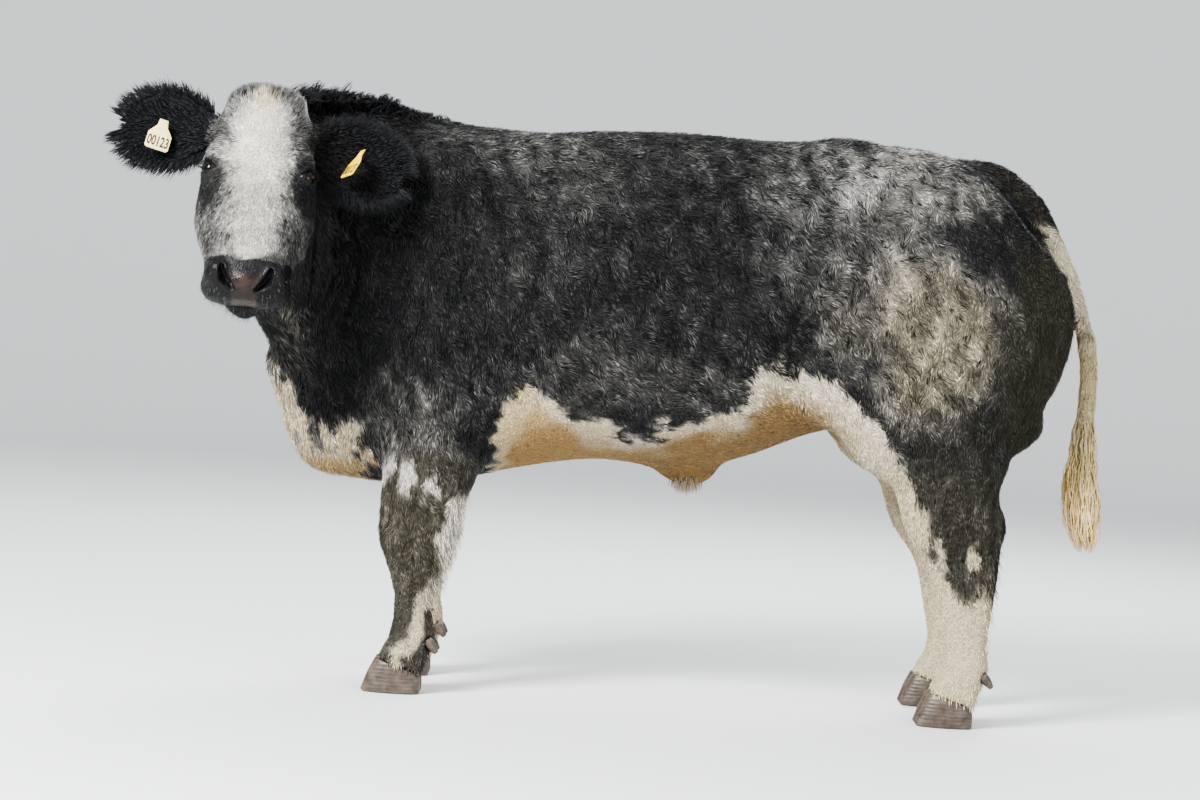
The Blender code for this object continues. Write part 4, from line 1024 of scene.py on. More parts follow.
# The lie of the coat: x, distance from the midline, z, then heading back, outwards and up, and reach
LIE = (
    (-0.85, 0.16, 1.15, 0.50, 0.25, -0.85, 0.12),
    (-0.75, 0.25, 0.95, 0.35, 0.05, -1.00, 0.14),
    (-0.72, 0.05, 1.26, 0.90, 0.45, -0.10, 0.07),
    (-0.80, 0.10, 0.70, 0.25, 0.00, -1.00, 0.12),
    (-0.55, 0.30, 0.95, 0.55, 0.05, -0.90, 0.14),
    (-0.50, 0.25, 0.65, 0.35, 0.00, -1.00, 0.12),
    (-0.40, 0.06, 1.26, 0.95, 0.50, -0.10, 0.12),
    (-0.10, 0.06, 1.26, 0.95, 0.55, -0.10, 0.12),
    (-0.15, 0.30, 0.95, 0.75, 0.00, -0.75, 0.14),
    (-0.10, 0.25, 0.70, 0.90, 0.00, -0.55, 0.12),
    (0.15, 0.30, 0.95, 0.70, 0.00, -0.80, 0.14),
    (0.20, 0.06, 1.26, 0.95, 0.45, -0.10, 0.12),
    (0.28, 0.24, 0.74, 0.60, 0.00, -0.70, 0.08),
    (0.50, 0.10, 1.22, 0.95, 0.45, -0.25, 0.12),
    (0.45, 0.30, 1.00, 0.65, 0.00, -0.80, 0.12),
    (0.68, 0.12, 1.10, 0.80, 0.35, -0.70, 0.10),
    (0.60, 0.28, 0.85, 0.30, 0.00, -1.00, 0.14),
    (0.76, 0.15, 0.85, -0.05, 0.00, -1.00, 0.12),
    (-0.20, 0.05, 0.50, 1.00, 0.10, 0.00, 0.12),
    (0.10, 0.05, 0.52, 1.00, 0.00, 0.00, 0.12),
    (-0.56, 0.15, 0.35, 0.12, 0.00, -1.00, 0.12),
    (0.60, 0.15, 0.40, 0.10, 0.00, -1.00, 0.14),
    (-0.56, 0.15, 0.12, 0.10, 0.00, -1.00, 0.12),
    (0.60, 0.15, 0.12, 0.10, 0.00, -1.00, 0.12),
    (0.88, 0.00, 0.80, 0.05, 0.00, -1.00, 0.14),
)


def lie(points, normals, shares, curl):
    """Which way the hair lies at each place, along the skin."""
    local = measured(points)
    folded = np.column_stack((local[:, 0], np.abs(local[:, 1]), local[:, 2]))
    total = np.zeros_like(points)
    for row in np.array(LIE):
        near = np.exp(-((folded - row[:3]) ** 2).sum(axis=1) / (2 * row[6] ** 2)) + 1e-12
        total += near[:, None] * row[3:6]
    total = unit(total)
    total[:, 1] *= np.where(local[:, 1] < 0, -1.0, 1.0)
    # Out from the whorl over the face
    head = to_head(points)
    outward = head[:, 0] - WHORL[0]
    back = -0.35 * np.clip((np.abs(head[:, 0]) - 0.05) / 0.05, 0, 1)
    down = head[:, 2] - WHORL[1] + 0.05 * ramp(np.abs(head[:, 0]), 0.06, 0.10)
    face = unit(np.column_stack((outward * 0.9, back * 0.12, down))) @ HEAD_ROWS
    share = (shares[:, HEAD] + shares[:, LID])[:, None]
    total = total * (1 - share) + face * share
    # Towards the tips of the ears and out over their edges
    for side, _ in SIDES:
        root, tip, upper, _ = (np.array(v) for v in ear_axes(side))
        edge = (head - root) @ upper
        ear = unit(tip + upper * (edge / 0.05)[:, None]) @ HEAD_ROWS
        share = (shares[:, EAR] * (head[:, 0] * side > 0))[:, None]
        total = total * (1 - share) + ear * share
    total = total - normals * (total * normals).sum(axis=1, keepdims=True)
    total = unit(total)
    turn = curl * (0.6 * ripples(points, 0.040, 61) + 0.5 * ripples(points, 0.020, 62))
    across = np.cross(normals, total)
    return total * np.cos(turn)[:, None] + across * np.sin(turn)[:, None]


# The coat's growth on each part: length, width, lift in radians, curl, tufts to the square metre
GROWTH = {
    TRUNK: (0.023, 0.0030, 0.20, 0.50, 20000),
    NECK: (0.026, 0.0032, 0.24, 0.46, 21000),
    HEAD: (0.0110, 0.0019, 0.17, 0.16, 76000),
    LEG: (0.0140, 0.0026, 0.15, 0.30, 24000),
    TAIL: (0.018, 0.0026, 0.15, 0.12, 30000),
    EAR: (0.022, 0.0026, 0.26, 0.20, 62000),
    LID: (0.0055, 0.0010, 0.20, 0.10, 150000),
}
UNDERCOAT = ("undercoat_neck", "undercoat_front", "undercoat_middle", "undercoat_back")
# Parts, tufts, stations of a tuft, tufts to a wisp, pull of the wisp, length and width shares, pieces
COATS = (
    ((TRUNK, NECK), 40000, 3, 7, 0.38, 1.0, 0.95, ("coat_shoulder", "coat_ribs", "coat_rump")),
    ((TRUNK, NECK), 123000, 2, 5, 0.25, 0.85, 0.95, UNDERCOAT),
    ((LEG, TAIL), 34000, 2, 6, 0.30, 1.0, 1.0, ("coat_legs",)),
    ((HEAD, LID), 46000, 2, 5, 0.18, 1.0, 1.0, ("coat_crown", "coat_face")),
    ((EAR,), 6000, 3, 5, 0.30, 1.0, 1.0, ("coat_ears",)),
)


def growth(points, shares):
    """Length, width, lift, curl and thickness of the coat at each place."""
    table = np.array([GROWTH[part] for part in range(PARTS)])
    length, width, lift, curl, thick = (shares @ table).T
    x, _, z = measured(points).T
    _, front, along = to_head(points).T
    leg, head = shares[:, LEG], shares[:, HEAD]
    foot = ramp(z, 0.42, 0.16)
    belly = ramp(z, 0.70, 0.60) * ramp(x, -0.45, -0.38) * ramp(x, 0.40, 0.25)
    rump = ramp(x, 0.20, 0.45) * shares[:, TRUNK]
    poll = ramp(along, 0.06, 0.0) * head
    jaw = ramp(front, -0.10, -0.20) * head
    nose = ramp(along, 0.33, 0.40) * head
    knee = ramp(np.abs(z - KNEE_LEVEL), 0.12, 0.06) * ramp(x, -0.3, -0.4) * leg
    length = length * (1 - 0.45 * foot * leg) * (1 - 0.55 * belly) * (1 - 0.18 * rump)
    length = length * (1 + 0.9 * poll) * (1 + 0.7 * jaw) * (1 - 0.50 * nose) * (1 + 0.45 * knee)
    width = width * (1 - 0.35 * belly) * (1 - 0.35 * nose)
    lift = lift * (1 - 0.50 * belly)
    curl = curl * (1 + 0.35 * rump) * (1 + 1.2 * knee)
    return length, width, lift, curl, thick


# Hair as mesh


def tuft_faces(rings):
    """Triangles of one three-sided taper with this many rings and a tip."""
    faces = [(0, 1, 2)]
    for k in range(rings):
        for i, j in ((0, 1), (1, 2), (2, 0)):
            low_i, low_j = 3 * k + i, 3 * k + j
            if k == rings - 1:
                faces.append((low_j, low_i, 3 * rings))
            else:
                faces.append((low_j, low_i, low_i + 3))
                faces.append((low_j, low_i + 3, low_j + 3))
    return np.array(faces)


# Half the size on the map OFBake of the patch that one tuft takes
PATCH_HALF = 0.0014


def hair_mesh(name, lines, ups, width, tones, patch, finish, body=None, flat=0.30, shade=(0.62, 1.05)):
    """One joined mesh of tapered tufts. Lines holds each tuft's centre line from root to tip, body the
    width share of each ring, flat how tall a ring is for its width, shade the factors of painted shade at
    the root and painted light at the tip."""
    count, stations = lines.shape[0], lines.shape[1]
    rings = stations - 1
    corners = 3 * rings + 1
    if body is None:
        body = np.interp(np.arange(rings) / rings, (0, 0.35, 1), (0.7 if rings > 1 else 1.0, 1.0, 0.45))
    points = np.empty((count, corners, 3))
    colour = np.empty((count, corners, 3))
    places = np.empty((count, corners, 2))
    for k in range(rings):
        heading = unit(lines[:, k + 1] - lines[:, max(k - 1, 0)])
        across = unit(np.cross(heading, ups))
        up = np.cross(across, heading)
        half = (width * body[k] / 2)[:, None]
        points[:, 3 * k] = lines[:, k] - across * half
        points[:, 3 * k + 1] = lines[:, k] + across * half
        points[:, 3 * k + 2] = lines[:, k] + up * half * 2 * flat
        # Painted shade darkens each tuft towards its root, and painted light brightens its tip
        light = shade[0] + (shade[1] - shade[0]) * min(1.0, 1.6 * k / rings)
        colour[:, 3 * k : 3 * k + 3] = (tones * light)[:, None]
        for j in range(3):
            shift = np.array(((j - 1) * PATCH_HALF, (k / rings - 0.5) * 2 * PATCH_HALF))
            places[:, 3 * k + j] = patch + shift
    points[:, -1] = lines[:, -1]
    colour[:, -1] = tones * shade[1]
    places[:, -1] = patch + np.array((0.0, PATCH_HALF))
    faces = (tuft_faces(rings)[None] + (np.arange(count) * corners)[:, None, None]).reshape(-1, 3)
    mesh = bpy.data.meshes.new(name)
    mesh.vertices.add(count * corners)
    mesh.vertices.foreach_set("co", points.astype(np.float32).ravel())
    mesh.loops.add(len(faces) * 3)
    mesh.loops.foreach_set("vertex_index", faces.astype(np.int32).ravel())
    mesh.polygons.add(len(faces))
    mesh.polygons.foreach_set("loop_start", np.arange(0, len(faces) * 3, 3, dtype=np.int32))
    mesh.polygons.foreach_set("use_smooth", np.ones(len(faces), bool))
    mesh.update(calc_edges=True)
    layer = mesh.uv_layers.new(name="OFBake")
    layer.data.foreach_set("uv", places.reshape(-1, 2)[faces.ravel()].astype(np.float32).ravel())
    piece = linked(name, mesh)
    keep_tone(piece, colour.reshape(-1, 3))
    mesh.materials.append(finish)
    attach(piece, "root")
    return piece


class Skin:
    """The finished hide as arrays, with what grows on it."""

    def __init__(self, hide, shares, fur):
        self.points = points_of(hide)
        self.normals = normals_of(hide)
        self.shares = shares
        self.fur = fur
        mesh = hide.data
        mesh.calc_loop_triangles()
        flat = np.empty(len(mesh.loop_triangles) * 3, np.int32)
        mesh.loop_triangles.foreach_get("vertices", flat)
        self.faces = flat.reshape(-1, 3)
        a, b, c = (self.points[self.faces[:, n]] for n in range(3))
        self.area = np.linalg.norm(np.cross(b - a, c - a), axis=1) / 2

    def sow(self, weight, count, chance):
        """Roots scattered evenly, thicker where weight is high: place, normal and part shares."""
        total = np.cumsum(self.area * weight[self.faces].mean(axis=1))
        picks = (np.arange(count) + chance.random(count)) / count * total[-1]
        face = np.minimum(np.searchsorted(total, picks), len(total) - 1)
        u, v = chance.random(count), chance.random(count)
        over = u + v > 1
        u, v = np.where(over, 1 - u, u), np.where(over, 1 - v, v)
        corners = self.faces[face]
        mix = np.column_stack((1 - u - v, u, v))[:, :, None]
        place = (self.points[corners] * mix).sum(axis=1)
        normal = unit((self.normals[corners] * mix).sum(axis=1))
        shares = (self.shares[corners] * mix).sum(axis=1)
        return place, normal, shares


# Faces of the simpler copy of the hide that the flat map is unwrapped from
MAP_FACES = 9000


class Unwrap:
    """A flat map of the hide's own shape, read at any place on it."""

    def __init__(self, hide):
        small = twin_of(hide)
        modify(small, "DECIMATE", ratio=MAP_FACES / len(small.data.polygons))
        only(small)
        bpy.ops.object.mode_set(mode="EDIT")
        bpy.ops.mesh.select_all(action="SELECT")
        bpy.ops.uv.smart_project(angle_limit=math.radians(66), island_margin=0.002)
        bpy.ops.object.mode_set(mode="OBJECT")
        mesh = small.data
        mesh.calc_loop_triangles()
        triangles = mesh.loop_triangles
        spots = [tuple(vertex.co) for vertex in mesh.vertices]
        uv = mesh.uv_layers.active.data
        self.places = np.array([[tuple(uv[i].uv) for i in triangle.loops] for triangle in triangles])
        self.points = np.array([[spots[i] for i in triangle.vertices] for triangle in triangles])
        self.tree = BVHTree.FromPolygons(spots, [tuple(triangle.vertices) for triangle in triangles])
        bpy.data.objects.remove(small)

    def at(self, points):
        """Where on the map the hide's nearest place to each point lies."""
        hits = [self.tree.find_nearest(Vector(point)) for point in points]
        face = np.array([hit[2] for hit in hits])
        place = np.array([tuple(hit[0]) for hit in hits])
        corner = self.points[face, 0]
        first, second, gap = self.points[face, 1] - corner, self.points[face, 2] - corner, place - corner
        long, both, wide = (first * first).sum(1), (first * second).sum(1), (second * second).sum(1)
        gap_long, gap_wide = (gap * first).sum(1), (gap * second).sum(1)
        under = np.maximum(long * wide - both * both, 1e-18)
        v = np.clip((wide * gap_long - both * gap_wide) / under, 0, 1)
        w = np.clip((long * gap_wide - both * gap_long) / under, 0, 1)
        mix = np.column_stack((1 - v - w, v, w))[:, :, None]
        return np.clip((self.places[face] * mix).sum(axis=1), 0.002, 0.998)


def grow(place, normal, shares, length, lift, curl, stations, sink):
    """Centre lines that leave the skin at their lift and then lie over along the coat's lie."""
    lines = np.empty((len(place), stations, 3))
    here = place - normal * sink
    lines[:, 0] = here
    steps = stations - 1
    for k in range(steps):
        heading = lie(here, normal, shares, curl)
        rise = lift * (1.35 - 1.15 * k / max(steps - 1, 1))
        step = heading * np.cos(rise)[:, None] + normal * np.sin(rise)[:, None]
        here = here + step * (length / steps)[:, None]
        lines[:, k + 1] = here
    return lines


def gather(lines, place, every, pull):
    """Draws the tips of neighbouring tufts together into wisps. Returns the lines and each tuft's wisp."""
    leaders = np.arange(0, len(place), every)
    tree = KDTree(len(leaders))
    for n, leader in enumerate(leaders):
        tree.insert(Vector(place[leader]), n)
    tree.balance()
    wisp = np.array([tree.find(Vector(point))[1] for point in place])
    lead = lines[leaders][wisp]
    share = np.linspace(0, 1, lines.shape[1]) ** 1.4 * pull
    return lines + (lead - lines) * share[None, :, None], wisp


ROOT_DEPTH = 0.0018
SHORT_ROOT_DEPTH = 0.0003
# How far the tips stray, and how much the roan's white differs by wisp and by tuft
TIP_STRAY = 0.0006
WISP_MOTTLE = 0.15
TUFT_MOTTLE = 0.14


def coat(skin, unwrap, finish):
    """All the short coat: sown over the hide, grown along its lie and gathered into wisps."""
    chance = np.random.default_rng(SEED)
    thick = growth(skin.points, skin.shares)[-1]
    small = 1.0
    for parts, count, stations, every, pull, long, wide, names in COATS:
        count = int(count * small)
        weight = thick * skin.fur * sum(skin.shares[:, part] for part in parts)
        place, normal, shares = skin.sow(weight, count, chance)
        length, width, lift, curl, _ = growth(place, shares)
        length = length * long * chance.uniform(0.72, 1.15, count)
        width = width * wide * chance.uniform(0.75, 1.2, count) / math.sqrt(small)
        lift = lift * (1 + 0.35 * ripples(place, 0.016, 71))
        sink = ROOT_DEPTH if stations > 2 else SHORT_ROOT_DEPTH
        lines = grow(place, normal, shares, length, lift, curl, stations, sink)
        lines, wisp = gather(lines, place, every, pull)
        lines[:, 1:] += chance.normal(scale=TIP_STRAY, size=lines[:, 1:].shape)
        white, warm, tan, brown = marks(place, shares)
        white = np.clip(white, 0, 1)
        mixed = 4 * white * (1 - white)
        wisp_tone = WISP_MOTTLE * chance.normal(size=wisp.max() + 1)[wisp]
        white = np.clip(white + mixed * (wisp_tone + TUFT_MOTTLE * chance.normal(size=count)), 0.0, 0.97)
        tone = hair_colour(white, warm, tan, brown) * chance.uniform(0.82, 1.12, count)[:, None]
        patch = unwrap.at(place)
        order = np.argsort(place[:, 0] if TRUNK in parts else to_head(place)[:, 2])
        for name, rows in zip(names, np.array_split(order, len(names))):
            hair_mesh(name, lines[rows], normal[rows], width[rows], tone[rows], patch[rows], finish)


# Long hair: locks of the tail, crest, ears, knees, coronets and sheath, and the fine hairs of the face


def strands(roots, start, end, length, stations, wave, turns, chance):
    """Centre lines that leave along start, bend over towards end and wave a little on the way."""
    steps = stations - 1
    lines = np.empty((len(roots), stations, 3))
    lines[:, 0] = here = roots
    for k in range(steps):
        share = (k + 0.5) / steps
        here = here + unit(start * (1 - share) + end * share) * (length / steps)[:, None]
        lines[:, k + 1] = here
    across = unit(np.cross(start + end, chance.normal(size=roots.shape)))
    phase = chance.uniform(0, 2 * math.pi, len(roots))[:, None]
    swing = np.sin(phase + np.arange(stations) / steps * 2 * math.pi * turns) - np.sin(phase)
    return lines + across[:, None, :] * (swing * wave)[:, :, None]


def long_hair(name, lines, ups, width, tone, unwrap, finish, shade=(0.55, 1.05)):
    """One piece of locks that taper at both ends."""
    rings = lines.shape[1] - 1
    body = np.interp(np.arange(rings) / rings, (0, 0.3, 1), (0.6, 1.0, 0.3))
    # shade gives the painted shade at each lock's root and the painted light at its tip
    return hair_mesh(name, lines, ups, width, tone, unwrap.at(lines[:, 0]), finish, body, 0.4, shade)


def dark_tone(count, chance):
    return BLACK * chance.uniform(0.6, 1.5, count)[:, None]


# The switch: locks, the levels they spring from, and where their lowest tips end
SWITCH_LOCKS = 900
SWITCH_LEVELS = (0.445, 0.690)
SWITCH_END = 0.374


def switch_hair(unwrap, finish, chance):
    """The brush of the tail: golden locks that spread from the tail's end and close to a point."""
    count = SWITCH_LOCKS
    level = SWITCH_LEVELS[0] + (SWITCH_LEVELS[1] - SWITCH_LEVELS[0]) * chance.random(count) ** 0.85
    angle = chance.uniform(0, 2 * math.pi, count)
    none = 0 * level
    out = np.column_stack((np.cos(angle), np.sin(angle), none))
    radius = np.interp(level, (0.45, 0.56, 0.69), (0.008, 0.015, 0.017))
    middle = np.column_stack((np.interp(level, (0.44, 0.60, 0.72), (0.905, 0.886, 0.890)), none, level))
    down = np.array((0.04, 0, -1.0))
    start = out * np.interp(level, (0.56, 0.68), (0.62, 0.14))[:, None] + down + np.array((-0.05, 0, 0))
    end = out * -0.55 + np.array((0.20, 0, -1.0))
    bottom = SWITCH_END + 0.085 * chance.random(count) ** 1.6
    length = chance.uniform(0.11, 0.22, count)
    length = np.clip(length, 0, np.maximum((level - bottom) * 1.03, 0.03))
    roots = ORIGIN_POINT + middle + out * radius[:, None]
    lines = strands(roots, start, end, length, 8, 0.0058, 1.8, chance)
    # Locks that hang together share a tone, more golden towards the end
    lines, lock = gather(lines, lines[:, 3], 11, 0.40)
    share = 0.6 * chance.random(lock.max() + 1)[lock] + 0.4 * chance.random(count)
    share = np.clip(share * np.interp(level, (0.50, 0.68), (1.6, 0.6)), 0, 1)[:, None]
    tone = toward(CREAM, GOLD, share) * chance.uniform(0.92, 1.15, count)[:, None]
    width = chance.uniform(0.0024, 0.0050, count)
    long_hair("switch_hair", lines, out, width, tone, unwrap, finish)


# The crest of the neck from the poll to the withers, and how long its hair is at x
CREST = ((-0.875, -0.215, 1.25), (-0.80, -0.11, 1.262), (-0.72, -0.05, 1.27), (-0.60, 0.0, 1.262))
CREST_LENGTH = ((-0.89, 0.074), (-0.80, 0.052), (-0.62, 0.018))
CREST_LOCKS = 1900


def crest_hair(skin, unwrap, finish, chance):
    """Black curling hair along the top of the neck, longest behind the poll."""
    local = measured(skin.points)
    aside = np.abs(local[:, 1] - along_table(local[:, 0], CREST)[0])
    along = ramp(local[:, 0], -0.905, -0.875) * ramp(local[:, 0], -0.56, -0.66)
    weight = ramp(aside, 0.060, 0.030) * along * (skin.normals[:, 2] > 0.2) * (1 - skin.shares[:, HEAD])
    place, normal, _ = skin.sow(weight, CREST_LOCKS, chance)
    x = place[:, 0] - ORIGIN.x
    length = along_table(x, CREST_LENGTH)[0] * chance.uniform(0.6, 1.1, len(x))
    start = normal * 0.5 + np.array((-0.05, 0, 1.0)) + chance.normal(scale=0.30, size=place.shape)
    end = np.array((1.0, -0.20, 0.30)) + chance.normal(scale=0.45, size=place.shape)
    lines = strands(place - normal * 0.002, start, end, length, 6, 0.0030, 0.9, chance)
    lines, _ = gather(lines, place, 9, 0.65)
    width = chance.uniform(0.0020, 0.0034, len(x))
    long_hair("crest_hair", lines, normal, width, dark_tone(len(x), chance), unwrap, finish)


FRINGE_LOCKS = 2000


def ear_fringe(unwrap, finish, chance):
    """Long hair standing out from the rims of the ears."""
    all_lines, all_ups = [], []
    for side, _ in SIDES:
        root, tip, upper, opening = (np.array(v) for v in ear_axes(side))
        count = FRINGE_LOCKS
        share = 0.10 + 0.92 * chance.random(count) ** 0.85
        edge = np.where(chance.random(count) < 0.45, 1, -1)
        share = np.minimum(share, 1.0)
        half, cup, _ = along_table(share, EAR_SHAPE)
        spread = chance.uniform(0.80, 1.0, count)
        sunk = EAR_LIFT - cup * (1 - spread**2)
        roots = root + tip * ear_reach(share)[:, None] + opening * sunk[:, None]
        roots = roots + upper * (edge * half * spread)[:, None]
        spray = upper * (edge * (1.15 - 0.75 * share**3))[:, None]
        start = spray + tip * (0.05 + 0.9 * share**2)[:, None] + opening * 0.45
        start = start + chance.normal(scale=0.20, size=roots.shape)
        end = spray + tip * (0.25 + 0.8 * share)[:, None] - opening * 0.05
        end = end + chance.normal(scale=0.28, size=roots.shape)
        length = chance.uniform(0.026, 0.054, count) * np.where(edge > 0, 0.95, 1.15)
        lines = strands(roots - opening * 0.001, start, end, length, 4, 0.0014, 0.7, chance)
        lines, _ = gather(lines, roots, 6, 0.42)
        all_lines.append(from_head(lines.reshape(-1, 3)).reshape(lines.shape))
        all_ups.append(np.broadcast_to(opening @ HEAD_ROWS, roots.shape))
    lines, ups = np.concatenate(all_lines), np.concatenate(all_ups)
    width = chance.uniform(0.0011, 0.0021, len(lines))
    long_hair("ear_fringe", lines, ups, width, dark_tone(len(lines), chance), unwrap, finish)


# The tufts of the legs and the sheath: how many, the sheath's x, and how low their tips may reach
FEATHER_LOCKS = 3200
SHEATH = 0.010
FEATHER_FLOOR = 0.004


def feather(skin, unwrap, finish, chance):
    """The longer hair behind the knees, over the hooves and on the sheath."""
    local = measured(skin.points)
    x, z, leg = local[:, 0], local[:, 2], skin.shares[:, LEG]
    back = ramp(skin.normals[:, 0], 0.25, 0.7)
    knee = back * ramp(z, 0.46, 0.40) * ramp(z, 0.17, 0.24) * (x < -0.3) * leg
    hock = 0.4 * back * ramp(z, 0.42, 0.36) * ramp(z, 0.12, 0.2) * (x > 0.3) * leg
    coronet = 1.6 * ramp(z, 0.105, 0.085) * leg
    middle = np.hypot(x - SHEATH, local[:, 1])
    sheath = 6.0 * ramp(middle, 0.040, 0.010) * ramp(z, 0.52, 0.49) * skin.shares[:, TRUNK]
    place, normal, shares = skin.sow(knee + hock + coronet + sheath, FEATHER_LOCKS, chance)
    low = place[:, 2] - ORIGIN.z < 0.11
    tuft = shares[:, TRUNK] > 0.5
    length = np.where(low, 0.020, np.where(tuft, 0.028, 0.030)) * chance.uniform(0.6, 1.1, len(place))
    start = normal * np.where(low, 0.30, 0.75)[:, None] + np.array((0, 0, -0.8))
    start = start + chance.normal(scale=0.16, size=place.shape)
    end = normal * 0.10 + np.array((0.05, 0, -1.0)) + chance.normal(scale=0.16, size=place.shape)
    lines = strands(place - normal * 0.002, start, end, length, 4, 0.0012, 0.8, chance)
    lines[:, :, 2] = np.maximum(lines[:, :, 2], ORIGIN.z + FEATHER_FLOOR)
    white, warm, tan, brown = marks(place, shares)
    tan = np.where(tuft, 0.25, tan)
    tone = hair_colour(white, warm, tan, brown) * chance.uniform(0.8, 1.1, len(place))[:, None]
    long_hair("feather", lines, normal, chance.uniform(0.0016, 0.0028, len(place)), tone, unwrap, finish)


# Bristles, then whiskers: count, least and greatest length, width and paleness
BRISTLES = ((900, 0.006, 0.013, 0.0007, 0.10), (110, 0.018, 0.030, 0.0005, 0.16))
# Angles round the eye of the upper and the lower lashes, and how many there are
UPPER_LASHES = (-2.75, -0.35, 62)
LOWER_LASHES = (0.6, 2.5, 22)


def bristles(skin, chance):
    """Bristles of the chin and lips, and a few long whiskers."""
    local = to_head(skin.points)
    bare, pad = muzzle_mask(local)
    lips = bare * (1 - ramp(pad, 0.0, 0.3)) * skin.shares[:, HEAD] * ramp(local[:, 2], 0.36, 0.42)
    lips *= 0.25 + ramp(local[:, 1], -0.070, -0.105)
    for side in (-1, 1):
        reach, _ = nostril_reach(local, side)
        lips *= ramp(reach, 1.4, 1.8)
    for count, low, high, wide, pale in BRISTLES:
        place, normal, _ = skin.sow(lips, count, chance)
        start = normal + np.array((0, 0, -0.35)) + chance.normal(scale=0.25, size=place.shape)
        end = normal * 0.5 + np.array((0, 0, -0.9)) + chance.normal(scale=0.25, size=place.shape)
        lines = strands(place, start, end, chance.uniform(low, high, count), 4, 0.0004, 0.5, chance)
        share = pale * chance.uniform(0, 2, count)[:, None]
        yield lines, normal, np.full(count, wide), toward(BLACK, WHITE, np.minimum(share, 1))


def lashes(eye, chance):
    centre, out, across, down = (np.array(v) for v in eye)
    angle = np.concatenate((np.linspace(*UPPER_LASHES), np.linspace(*LOWER_LASHES)))
    upper = angle < 0
    angle = angle + chance.normal(scale=0.02, size=len(angle))
    wide, tall = lid_edge(angle)
    ring = across * wide[:, None] + down * tall[:, None]
    way = unit(ring)
    roots = centre + ring * 1.04 + out * (ball_height(np.hypot(wide, tall)) + 0.0022)[:, None]
    start = out * 1.0 + way * 0.55 + chance.normal(scale=0.12, size=roots.shape)
    end = out * 0.55 + way * 0.8 + np.where(upper, -0.25, 0.1)[:, None] * -down
    length = np.where(upper, 0.0135, 0.007) * chance.uniform(0.7, 1.1, len(angle))
    lines = strands(roots, start, end, length, 4, 0.0002, 0.5, chance)
    return lines, way, np.full(len(angle), 0.0008), dark_tone(len(angle), chance)


def face_hairs(skin, eyes, unwrap, finish, chance):
    rows = list(bristles(skin, chance))
    rows += [lashes(eye, chance) for eye in eyes.values()]
    lines, ups, width, tone = (np.concatenate(parts) for parts in zip(*rows))
    long_hair("face_hairs", lines, ups, width, tone, unwrap, finish, (0.9, 1.0))


def long_hairs(skin, eyes, unwrap, finish):
    chance = np.random.default_rng(SEED + 1)
    switch_hair(unwrap, finish, chance)
    crest_hair(skin, unwrap, finish, chance)
    ear_fringe(unwrap, finish, chance)
    feather(skin, unwrap, finish, chance)
    face_hairs(skin, eyes, unwrap, finish, chance)


# Materials

LEATHER = (0.0050, 0.0046, 0.0052)
WET_PAD = (0.029, 0.0195, 0.0158)
PUPIL = (0.0012, 0.0014, 0.0020, 1)
# Places across the iris from its middle to its rim, with their colours
IRIS = (
    (0.0, (0.004, 0.003, 0.0025, 1)), (1.0, (0.016, 0.011, 0.009, 1)),
    (0.62, (0.004, 0.003, 0.0025, 1)), (0.90, (0.004, 0.003, 0.003, 1)),
)
# Roughness of the skin under the coat, the leather, and the wet pad
SKIN_ROUGH = 0.75
LEATHER_ROUGH = 0.40
PAD_ROUGH = 0.18
HORN = (0.070, 0.052, 0.038)
TAG_YELLOW = (0.80, 0.52, 0.03)
TAG_CREAM = (0.74, 0.60, 0.28)
INK = (0.020, 0.018, 0.016)
FLOOR_GREY = (0.66, 0.67, 0.67, 1)


def new_material(name):
    material = bpy.data.materials.new(name)
    material.use_nodes = True
    tree = material.node_tree
    return material, tree, tree.nodes["Principled BSDF"]


def node(tree, kind, **settings):
    """Adds a shader node and sets its inputs and properties by name."""
    made = tree.nodes.new(kind)
    for name, value in settings.items():
        if name in made.inputs.keys():
            made.inputs[name].default_value = value
        else:
            setattr(made, name, value)
    return made


def attribute(tree, name):
    return node(tree, "ShaderNodeAttribute", attribute_name=name)


def mottle_group():
    """A colour made lighter and darker by soft noise."""
    group = bpy.data.node_groups.new("mottle", "ShaderNodeTree")
    group.interface.new_socket("Colour", in_out="INPUT", socket_type="NodeSocketColor")
    for name in ("Scale", "Low", "High"):
        group.interface.new_socket(name, in_out="INPUT", socket_type="NodeSocketFloat")
    group.interface.new_socket("Colour", in_out="OUTPUT", socket_type="NodeSocketColor")
    group.interface.new_socket("Amount", in_out="OUTPUT", socket_type="NodeSocketFloat")
    source, sink = node(group, "NodeGroupInput"), node(group, "NodeGroupOutput")
    place = node(group, "ShaderNodeTexCoord")
    noise = node(group, "ShaderNodeTexNoise", Detail=4.0, Roughness=0.6)
    scale = node(group, "ShaderNodeMapRange")
    mixed = node(group, "ShaderNodeVectorMath", operation="SCALE")
    link = group.links.new
    link(place.outputs["Object"], noise.inputs["Vector"])
    link(source.outputs["Scale"], noise.inputs["Scale"])
    link(noise.outputs["Fac"], scale.inputs["Value"])
    scale.inputs["From Min"].default_value = 0.3
    scale.inputs["From Max"].default_value = 0.7
    link(source.outputs["Low"], scale.inputs["To Min"])
    link(source.outputs["High"], scale.inputs["To Max"])
    link(source.outputs["Colour"], mixed.inputs[0])
    link(scale.outputs["Result"], mixed.inputs["Scale"])
    link(mixed.outputs["Vector"], sink.inputs["Colour"])
    link(noise.outputs["Fac"], sink.inputs["Amount"])
    return group


MOTTLE = mottle_group()


def mottled(tree, colour, scale, low, high):
    """Places the mottle group; colour is a socket or a fixed colour."""
    made = node(tree, "ShaderNodeGroup", node_tree=MOTTLE)
    made.inputs["Scale"].default_value = scale
    made.inputs["Low"].default_value = low
    made.inputs["High"].default_value = high
    if isinstance(colour, bpy.types.NodeSocket):
        tree.links.new(colour, made.inputs["Colour"])
    else:
        made.inputs["Colour"].default_value = (*colour, 1)
    return made


